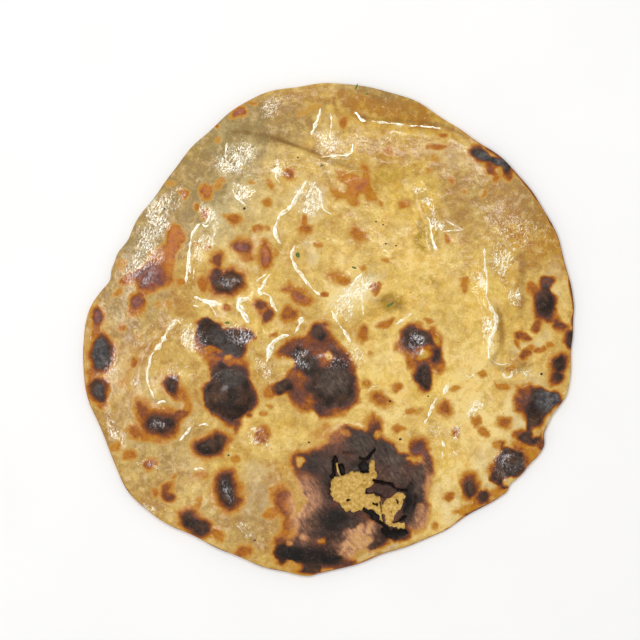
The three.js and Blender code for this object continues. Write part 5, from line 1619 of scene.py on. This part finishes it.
# Materials
class Nodes:
    """Short calls for building one material's nodes."""

    def __init__(self, name):
        self.material = bpy.data.materials.new(name)
        self.material.use_nodes = True
        self.tree = self.material.node_tree
        self.shader = self.tree.nodes["Principled BSDF"]
        self.place = self.tree.nodes.new("ShaderNodeTexCoord").outputs["Object"]

    def set(self, socket, value):
        if hasattr(value, "is_output"):
            self.tree.links.new(value, socket)
        else:
            socket.default_value = value

    def field(self, name):
        node = self.tree.nodes.new("ShaderNodeAttribute")
        node.attribute_name = name
        return node.outputs["Fac"]

    def stretched(self, turn, long, shift=0.0):
        """Coordinates turned by some degrees, in which a pattern comes out `long` times as long."""
        node = self.tree.nodes.new("ShaderNodeMapping")
        node.vector_type = "TEXTURE"
        self.set(node.inputs["Vector"], self.place)
        node.inputs["Location"].default_value = (shift, shift * SHIFT_Y, 0)
        node.inputs["Rotation"].default_value = (0, 0, math.radians(turn))
        node.inputs["Scale"].default_value = (long, 1, 1)
        return node.outputs["Vector"]

    def noise(self, size_mm, detail=2.0, rough=0.5, warp=0.0, place=None):
        """Random hills from 0 to 1, about size_mm across."""
        node = self.tree.nodes.new("ShaderNodeTexNoise")
        self.set(node.inputs["Vector"], place or self.place)
        self.set(node.inputs["Scale"], 1 / (size_mm * MM))
        self.set(node.inputs["Detail"], detail)
        self.set(node.inputs["Roughness"], rough)
        self.set(node.inputs["Distortion"], warp)
        return node.outputs["Fac"]

    def around_middle(self, *pattern, place=None):
        """Random hills as above, from -0.5 to 0.5."""
        return self.math("SUBTRACT", self.noise(*pattern, place=place), MIDDLE)

    def patchy(self, field, pattern, counts):
        """A field, broken up by random hills that count from one value to another."""
        counted = self.spread(self.noise(*pattern), *counts)
        return self.math("MULTIPLY", self.field(field), counted, clamp=True)

    def cells(self, size_mm, place=None):
        """Distance from the nearest of scattered points, as a part of their spacing."""
        node = self.tree.nodes.new("ShaderNodeTexVoronoi")
        self.set(node.inputs["Vector"], place or self.place)
        self.set(node.inputs["Scale"], 1 / (size_mm * MM))
        return node.outputs["Distance"]

    def math(self, operation, a, b=0.0, c=0.0, clamp=False):
        node = self.tree.nodes.new("ShaderNodeMath")
        node.operation = operation
        node.use_clamp = clamp
        for socket, value in zip(node.inputs, (a, b, c)):
            self.set(socket, value)
        return node.outputs[0]

    def without(self, value):
        """What is left of 1 without a value."""
        return self.math("SUBTRACT", 1.0, value)

    def spread(self, value, low, high, to_low=0.0, to_high=1.0):
        """Value from low..high stretched to to_low..to_high, smooth and held at the ends."""
        node = self.tree.nodes.new("ShaderNodeMapRange")
        node.interpolation_type = "SMOOTHSTEP"
        names = ("Value", "From Min", "From Max", "To Min", "To Max")
        for key, item in zip(names, (value, low, high, to_low, to_high)):
            self.set(node.inputs[key], item)
        return node.outputs["Result"]

    def ramp(self, value, stops):
        node = self.tree.nodes.new("ShaderNodeValToRGB")
        self.set(node.inputs["Fac"], value)
        elements = node.color_ramp.elements
        for n, (at, colour) in enumerate(stops):
            element = elements[n] if n < 2 else elements.new(at)
            element.position = at
            element.color = colour
        return node.outputs["Color"]

    def mix(self, amount, first, second, blend="MIX"):
        node = self.tree.nodes.new("ShaderNodeMix")
        node.data_type = "RGBA"
        node.blend_type = blend
        self.set(node.inputs["Factor"], amount)
        self.set(node.inputs[6], first)
        self.set(node.inputs[7], second)
        return node.outputs[2]

    def bump(self, height, depth_mm, strength=1.0, normal=None):
        node = self.tree.nodes.new("ShaderNodeBump")
        self.set(node.inputs["Height"], height)
        self.set(node.inputs["Distance"], depth_mm * MM)
        self.set(node.inputs["Strength"], strength)
        if normal is not None:
            self.set(node.inputs["Normal"], normal)
        return node.outputs["Normal"]


def dough_colour(n):
    """From dull to bright, in large clouds and fine mottles, with painted light and shade, oil-soaked and
    olive places, painted shade in creases and painted sheens.
    """
    clouds = n.around_middle(*CLOUDS)
    mottles = n.around_middle(*MOTTLES)
    grain = n.around_middle(*GRAIN)
    # The tone, with its painted light and shade, sets the dough's lightness
    light = n.math("ADD", clouds, n.math("MULTIPLY_ADD", n.field("tone_light_and_shade"), TONE_GAIN, LIGHTNESS))
    light = n.math("MULTIPLY_ADD", mottles, MOTTLE_GAIN, light)
    light = n.math("MULTIPLY_ADD", grain, GRAIN_GAIN, light)
    dough = n.ramp(light, DOUGH_STOPS)

    khaki = n.math("MULTIPLY", n.field("khaki"), n.spread(mottles, *KHAKI_MOTTLED), clamp=True)
    dough = n.mix(n.math("MULTIPLY", khaki, KHAKI_SHARE), dough, n.ramp(light, KHAKI_STOPS))
    warm = n.spread(n.noise(*WARM_PATTERN, place=n.stretched(*WARM_PLACE)), *WARM_RANGE)
    warm = n.math("MULTIPLY", warm, n.math("MULTIPLY_ADD", khaki, WARM_LOST_IN_KHAKI, 1.0), clamp=True)
    dough = n.mix(warm, dough, WARM_TINT, "MULTIPLY")
    creamy = n.spread(n.noise(*CREAM_PATTERN, place=n.stretched(*CREAM_PLACE)), *CREAM_RANGE)
    dough = n.mix(creamy, dough, CREAMY)

    soaked = n.patchy("yellow", SOAKED_PATTERN, SOAKED_RANGE)
    dough = n.mix(soaked, dough, SOAKED_TINT, "MULTIPLY")
    greenish = n.patchy("olive", OLIVE_PATTERN, OLIVE_RANGE)
    dough = n.mix(n.math("MULTIPLY", greenish, OLIVE_SHARE), dough, DOUGH_OLIVE)
    # Painted shade in the creases
    dough = n.mix(n.math("MULTIPLY", n.field("crease"), CREASE_SHADE_SHARE, clamp=True), dough, CREASE_SHADE_COLOUR)
    freckles = n.spread(n.noise(*FRECKLE_PATTERN, place=n.stretched(*FRECKLE_PLACE)), *FRECKLE_RANGE)
    dough = n.mix(n.math("MULTIPLY", freckles, FRECKLE_SHARE), dough, FRECKLE_COLOUR)
    dots = n.spread(n.noise(*DOT_PATTERN, place=n.stretched(*DOT_PLACE)), *DOT_RANGE)
    dough = n.mix(n.math("MULTIPLY", dots, DOT_SHARE), dough, DOT_COLOUR)
    # Painted sheens
    painted_sheen = n.patchy("painted_sheen", SHEEN_PATTERN, SHEEN_RANGE)
    return n.mix(n.math("MULTIPLY", painted_sheen, SHEEN_SHARE), dough, SHEEN_PALE)


def browned(n, dough, ragged):
    """Browning over the dough, up to char, greyed and sooty skin partly with a painted sheen, rosy skin,
    and blackened skin with painted shadow in the torn blister; also how cooked the skin is.
    """
    blotches = n.around_middle(*BLOTCHES)
    fine = n.around_middle(*FINE_GRAIN)
    own = n.spread(n.noise(*UNDERSIDE_SPOTS), *UNDERSIDE_RANGE)
    beneath = n.math("MULTIPLY", n.field("under"), n.math("SUBTRACT", own, UNBROWNED))
    level = n.math("ADD", n.field("browning"), beneath)
    level = n.math("MULTIPLY_ADD", ragged, RAGGED_GAIN, level)
    level = n.math("MULTIPLY_ADD", blotches, BLOTCH_GAIN, level)
    level = n.math("MULTIPLY_ADD", fine, FINE_GAIN, level)
    brown = n.ramp(level, BROWN_STOPS)

    flat = n.math("MULTIPLY", n.spread(n.field("plateau"), *PLATEAU_RANGE), n.spread(level, *FLAT_RANGE))
    brown = n.mix(n.math("MULTIPLY", flat, FLAT_SHARE), brown, n.ramp(level, FLAT_STOPS))
    blush = n.math("MULTIPLY", n.field("blush"), n.math("MULTIPLY", flat, BLUSH_SHARE), clamp=True)
    brown = n.mix(blush, brown, n.ramp(level, BLUSH_STOPS))
    charred = n.math("MULTIPLY", n.spread(level, *CHARRED_RANGE), CHAR_SHARE)
    brown = n.mix(charred, brown, n.ramp(n.noise(*CHAR_PATTERN), CHAR_STOPS))

    streaks = n.noise(*STREAKS, place=n.stretched(*STREAK_PLACE))
    streaks = n.math("MULTIPLY_ADD", streaks, STREAK_GAIN, STREAK_SHIFT)
    rosy = n.math("MULTIPLY", n.field("rosy"), n.spread(level, *ROSY_RANGE), clamp=True)
    rose = n.math("MULTIPLY_ADD", streaks, ROSY_STREAKS, ROSY_LIGHT)
    rose = n.math("MULTIPLY_ADD", blotches, ROSY_BLOTCHES, rose)
    rose = n.math("MULTIPLY_ADD", level, ROSY_BROWNING, rose)
    brown = n.mix(rosy, brown, n.ramp(rose, ROSY_STOPS))
    # Greyed char, partly a painted sheen on it
    ashen_and_sheen = n.math("MULTIPLY", n.field("ashen_and_sheen"), n.spread(level, *ASHEN_AND_SHEEN_RANGE), clamp=True)
    greyed = n.math("MULTIPLY_ADD", streaks, ASHEN_AND_SHEEN_STREAKS, ASHEN_AND_SHEEN_LIGHT)
    greyed = n.math("MULTIPLY_ADD", blotches, ASHEN_AND_SHEEN_BLOTCHES, greyed)
    brown = n.mix(ashen_and_sheen, brown, n.ramp(greyed, ASHEN_AND_SHEEN_STOPS))
    # Grey on the black blisters, partly a painted sheen of the glossy char
    soot_and_sheen = n.math("MULTIPLY", n.field("soot_and_sheen"), n.spread(level, *SOOT_AND_SHEEN_RANGE), clamp=True)
    soot_and_sheen_grey = n.math("MULTIPLY_ADD", blotches, SOOT_AND_SHEEN_BLOTCHES, n.noise(*SOOT_AND_SHEEN_PATTERN))
    brown = n.mix(soot_and_sheen, brown, n.ramp(soot_and_sheen_grey, SOOT_AND_SHEEN_STOPS))
    # Blackened char and painted shadow of the torn blister
    shade = n.math("MULTIPLY", n.field("char_and_shadow"), n.spread(level, *CHAR_AND_SHADOW_RANGE), clamp=True)
    brown = n.mix(shade, brown, GAP_SHADOW_COLOUR)
    return n.mix(n.spread(level, *BROWN_RANGE), dough, brown), n.spread(level, *COOKED_RANGE)


def oil_and_painted_glints(n, colour, cooked, glitter, wet):
    """Painted glints of oil on the skin, painted pale glints along veins where it is cooked, and pale oil
    on the oil lines, partly its own colour and partly a painted highlight.
    """
    glints = n.noise(*GLINTS, place=n.stretched(*GLINT_PLACE))
    sparkles = n.spread(n.math("MULTIPLY_ADD", glitter, GLITTER_GAIN, glints), *SPARKLE_RANGE)
    off_ridge = n.math("ABSOLUTE", n.around_middle(*VEINS, place=n.stretched(*VEIN_PLACE)))
    vein_glints = n.spread(n.math("MULTIPLY_ADD", glitter, VEIN_GAIN, off_ridge), *VEIN_RANGE)
    vein_glints = n.math("MULTIPLY", vein_glints, n.spread(n.noise(*VEIN_BREAKS), *VEIN_BREAK_RANGE))
    painted_glints = n.math("MAXIMUM", n.math("MULTIPLY", sparkles, n.without(cooked)), vein_glints)
    painted_glints = n.math("MULTIPLY", painted_glints, n.math("MULTIPLY_ADD", cooked, SHINE_LOST_COOKED, SHINE))
    # Painted glints and painted vein glints mixed into the colour
    colour = n.mix(painted_glints, colour, n.mix(cooked, OIL_PALE_AND_GLINT, VEIN_GLINT_PALE))
    painted_sheen = n.spread(n.noise(*OIL_PATTERN), *OIL_RANGE)
    return n.mix(n.math("MULTIPLY", wet, painted_sheen), colour, OIL_PALE_AND_GLINT)


def crust_material():
    n = Nodes("baked crust")
    under, crumb, gap, glitter = n.field("under"), n.field("crumb"), n.field("gap"), n.field("glitter")
    wet, torn = n.field("wet"), n.field("torn")
    ragged = n.around_middle(*RAGGED_PATTERN)
    colour, cooked = browned(n, dough_colour(n), ragged)
    colour = oil_and_painted_glints(n, colour, cooked, glitter, wet)

    # crumb, and the gaps beside it with painted shadow
    soft = n.noise(*CRUMB_PATTERN)
    crumb_sharp = n.spread(n.math("MULTIPLY_ADD", ragged, CRUMB_RAGGED_GAIN, crumb), *CRUMB_RANGE)
    colour = n.mix(crumb_sharp, colour, n.ramp(soft, CRUMB_STOPS))
    # Painted shadow in the gaps
    colour = n.mix(n.spread(gap, *GAP_RANGE), colour, GAP_SHADOW_COLOUR)
    n.set(n.shader.inputs["Base Color"], colour)

    # relief too fine for the mesh
    skin = n.noise(*SKIN_PATTERN)
    relief = n.math("MULTIPLY_ADD", skin, SKIN_TO_PORES, n.noise(*PORES))
    normal = n.bump(relief, SKIN_DEPTH, n.math("MULTIPLY_ADD", wet, WET_SMOOTHING, SKIN_STRENGTH))
    normal = n.bump(soft, CRUMB_DEPTH, n.math("MULTIPLY", crumb_sharp, CRUMB_STRENGTH), normal)
    n.set(n.shader.inputs["Normal"], normal)

    # oil: a clear coat, smooth on the skin and beaded where it glitters
    spacing = n.cells(BEAD_SPACING, n.stretched(*BEAD_PLACE))
    beads = n.math("MULTIPLY", n.math("MULTIPLY", spacing, spacing), -1.0)
    dry_skin = n.without(wet)
    beaded = n.math("MULTIPLY", glitter, n.spread(n.noise(*BEADED_PATTERN), *BEADED_RANGE))
    beaded = n.math("MULTIPLY", beaded, dry_skin, clamp=True)
    coat_normal = n.bump(skin, COAT_DEPTH, n.math("MULTIPLY", dry_skin, COAT_STRENGTH))
    coat_normal = n.bump(beads, BEAD_HEIGHT, beaded, coat_normal)
    n.set(n.shader.inputs["Coat Normal"], coat_normal)
    dry = n.math("MAXIMUM", crumb_sharp, n.math("MULTIPLY", under, UNDERSIDE_DRY))
    thin = n.spread(n.noise(*THIN_OIL_PATTERN), *THIN_OIL_RANGE)
    thin = n.math("MULTIPLY", thin, n.math("SUBTRACT", 1.0, n.field("matte"), clamp=True))
    thin = n.math("MULTIPLY", thin, n.without(n.math("MULTIPLY", torn, TORN_DRY)))
    thin = n.math("MULTIPLY", thin, n.without(n.math("MULTIPLY", cooked, COOKED_DRY)))
    coat = n.math("MAXIMUM", thin, n.math("MAXIMUM", wet, n.math("MULTIPLY", beaded, BEADED_COAT)))
    n.set(n.shader.inputs["Coat Weight"], n.math("MULTIPLY", coat, n.without(dry)))
    n.shader.inputs["Coat Roughness"].default_value = COAT_ROUGHNESS
    n.shader.inputs["Coat IOR"].default_value = COAT_IOR
    n.set(n.shader.inputs["Roughness"], n.math("MULTIPLY_ADD", skin, ROUGHNESS_ADDED, ROUGHNESS))
    n.shader.inputs["Specular IOR Level"].default_value = SPECULAR
    return n.material


def fleck_material(name, colours):
    n = Nodes(name)
    colour = n.ramp(n.noise(*FLECK_PATTERN), tuple(zip(FLECK_EDGES, colours)))
    n.set(n.shader.inputs["Base Color"], colour)
    n.shader.inputs["Roughness"].default_value = FLECK_ROUGHNESS
    return n.material


# Floor, light and camera
def make_floor():
    n = Nodes("pale floor")
    n.set(n.shader.inputs["Base Color"], n.ramp(n.noise(*FLOOR_PATTERN), FLOOR_STOPS))
    n.shader.inputs["Roughness"].default_value = FLOOR_ROUGHNESS
    n.shader.inputs["Specular IOR Level"].default_value = SPECULAR
    half = FLOOR_SIZE / 2 / MM
    level = LOW[2] / MM
    corners = [(-half, -half, level), (half, -half, level), (half, half, level), (-half, half, level)]
    new_piece("floor", corners, [(0, 1, 2, 3)], n.material)


def aim(thing, target):
    thing.rotation_euler = (Vector(target) - thing.location).to_track_quat("-Z", "Y").to_euler()


def make_lights():
    for azimuth in LAMP_AZIMUTHS:
        data = bpy.data.lights.new(f"lamp {azimuth}", "AREA")
        data.shape = "DISK"
        data.size = LAMP_SIZE
        data.energy = LAMP_POWER
        lamp = bpy.data.objects.new(data.name, data)
        a, e = math.radians(azimuth), math.radians(LAMP_OFF)
        towards = Vector((math.cos(a) * math.sin(e), math.sin(a) * math.sin(e), math.cos(e)))
        lamp.location = towards * LIGHT_DISTANCE
        aim(lamp, (0, 0, 0))
        bpy.context.scene.collection.objects.link(lamp)


def make_room():
    world = bpy.data.worlds.new("soft room")
    world.use_nodes = True
    tree = world.node_tree
    direction = tree.nodes.new("ShaderNodeTexCoord").outputs["Generated"]
    parts = tree.nodes.new("ShaderNodeSeparateXYZ")
    tree.links.new(direction, parts.inputs[0])
    fade = tree.nodes.new("ShaderNodeMapRange")
    fade.interpolation_type = "SMOOTHSTEP"
    tree.links.new(parts.outputs["Z"], fade.inputs["Value"])
    for key, value in (("From Min", BRIGHT_BELOW), ("From Max", DARK_ABOVE),
                       ("To Min", ROOM_BRIGHT), ("To Max", ROOM_OVERHEAD)):
        fade.inputs[key].default_value = value
    background = tree.nodes["Background"]
    background.inputs["Color"].default_value = ROOM_COLOUR
    tree.links.new(fade.outputs["Result"], background.inputs["Strength"])
    bpy.context.scene.world = world


def make_camera():
    """Straight above, with the bread where the photograph has it."""
    metres_a_pixel = (HIGH[0] - LOW[0]) / PHOTO_WIDTH_PIXELS
    view_width = PHOTO_PIXELS * metres_a_pixel
    data = bpy.data.cameras.new("camera")
    data.lens = CAMERA_LENS
    data.sensor_width = CAMERA_SENSOR
    data.clip_start, data.clip_end = CAMERA_REACH
    camera = bpy.data.objects.new("camera", data)
    middle = ((LOW[0] + HIGH[0]) / 2, (LOW[1] + HIGH[1]) / 2)
    camera.location = (
        middle[0] + (PHOTO_PIXELS / 2 - PHOTO_MIDDLE[0]) * metres_a_pixel,
        middle[1] - (PHOTO_PIXELS / 2 - PHOTO_MIDDLE[1]) * metres_a_pixel,
        RIM_THICKNESS * MM + view_width * CAMERA_LENS / CAMERA_SENSOR,
    )
    bpy.context.scene.collection.objects.link(camera)
    bpy.context.scene.camera = camera


bpy.context.scene.view_settings.view_transform = "Standard"
make_camera()
make_lights()
make_room()
make_floor()
crust = crust_material()
bread_move = make_bread(crust)
make_oil_lines(crust, bread_move)
make_flecks("herb_flecks", HERBS, fleck_material("dried herb", HERB_COLOURS), bread_move)
make_flecks("burnt_specks", SPECKS, fleck_material("burnt speck", SPECK_COLOURS), bread_move)
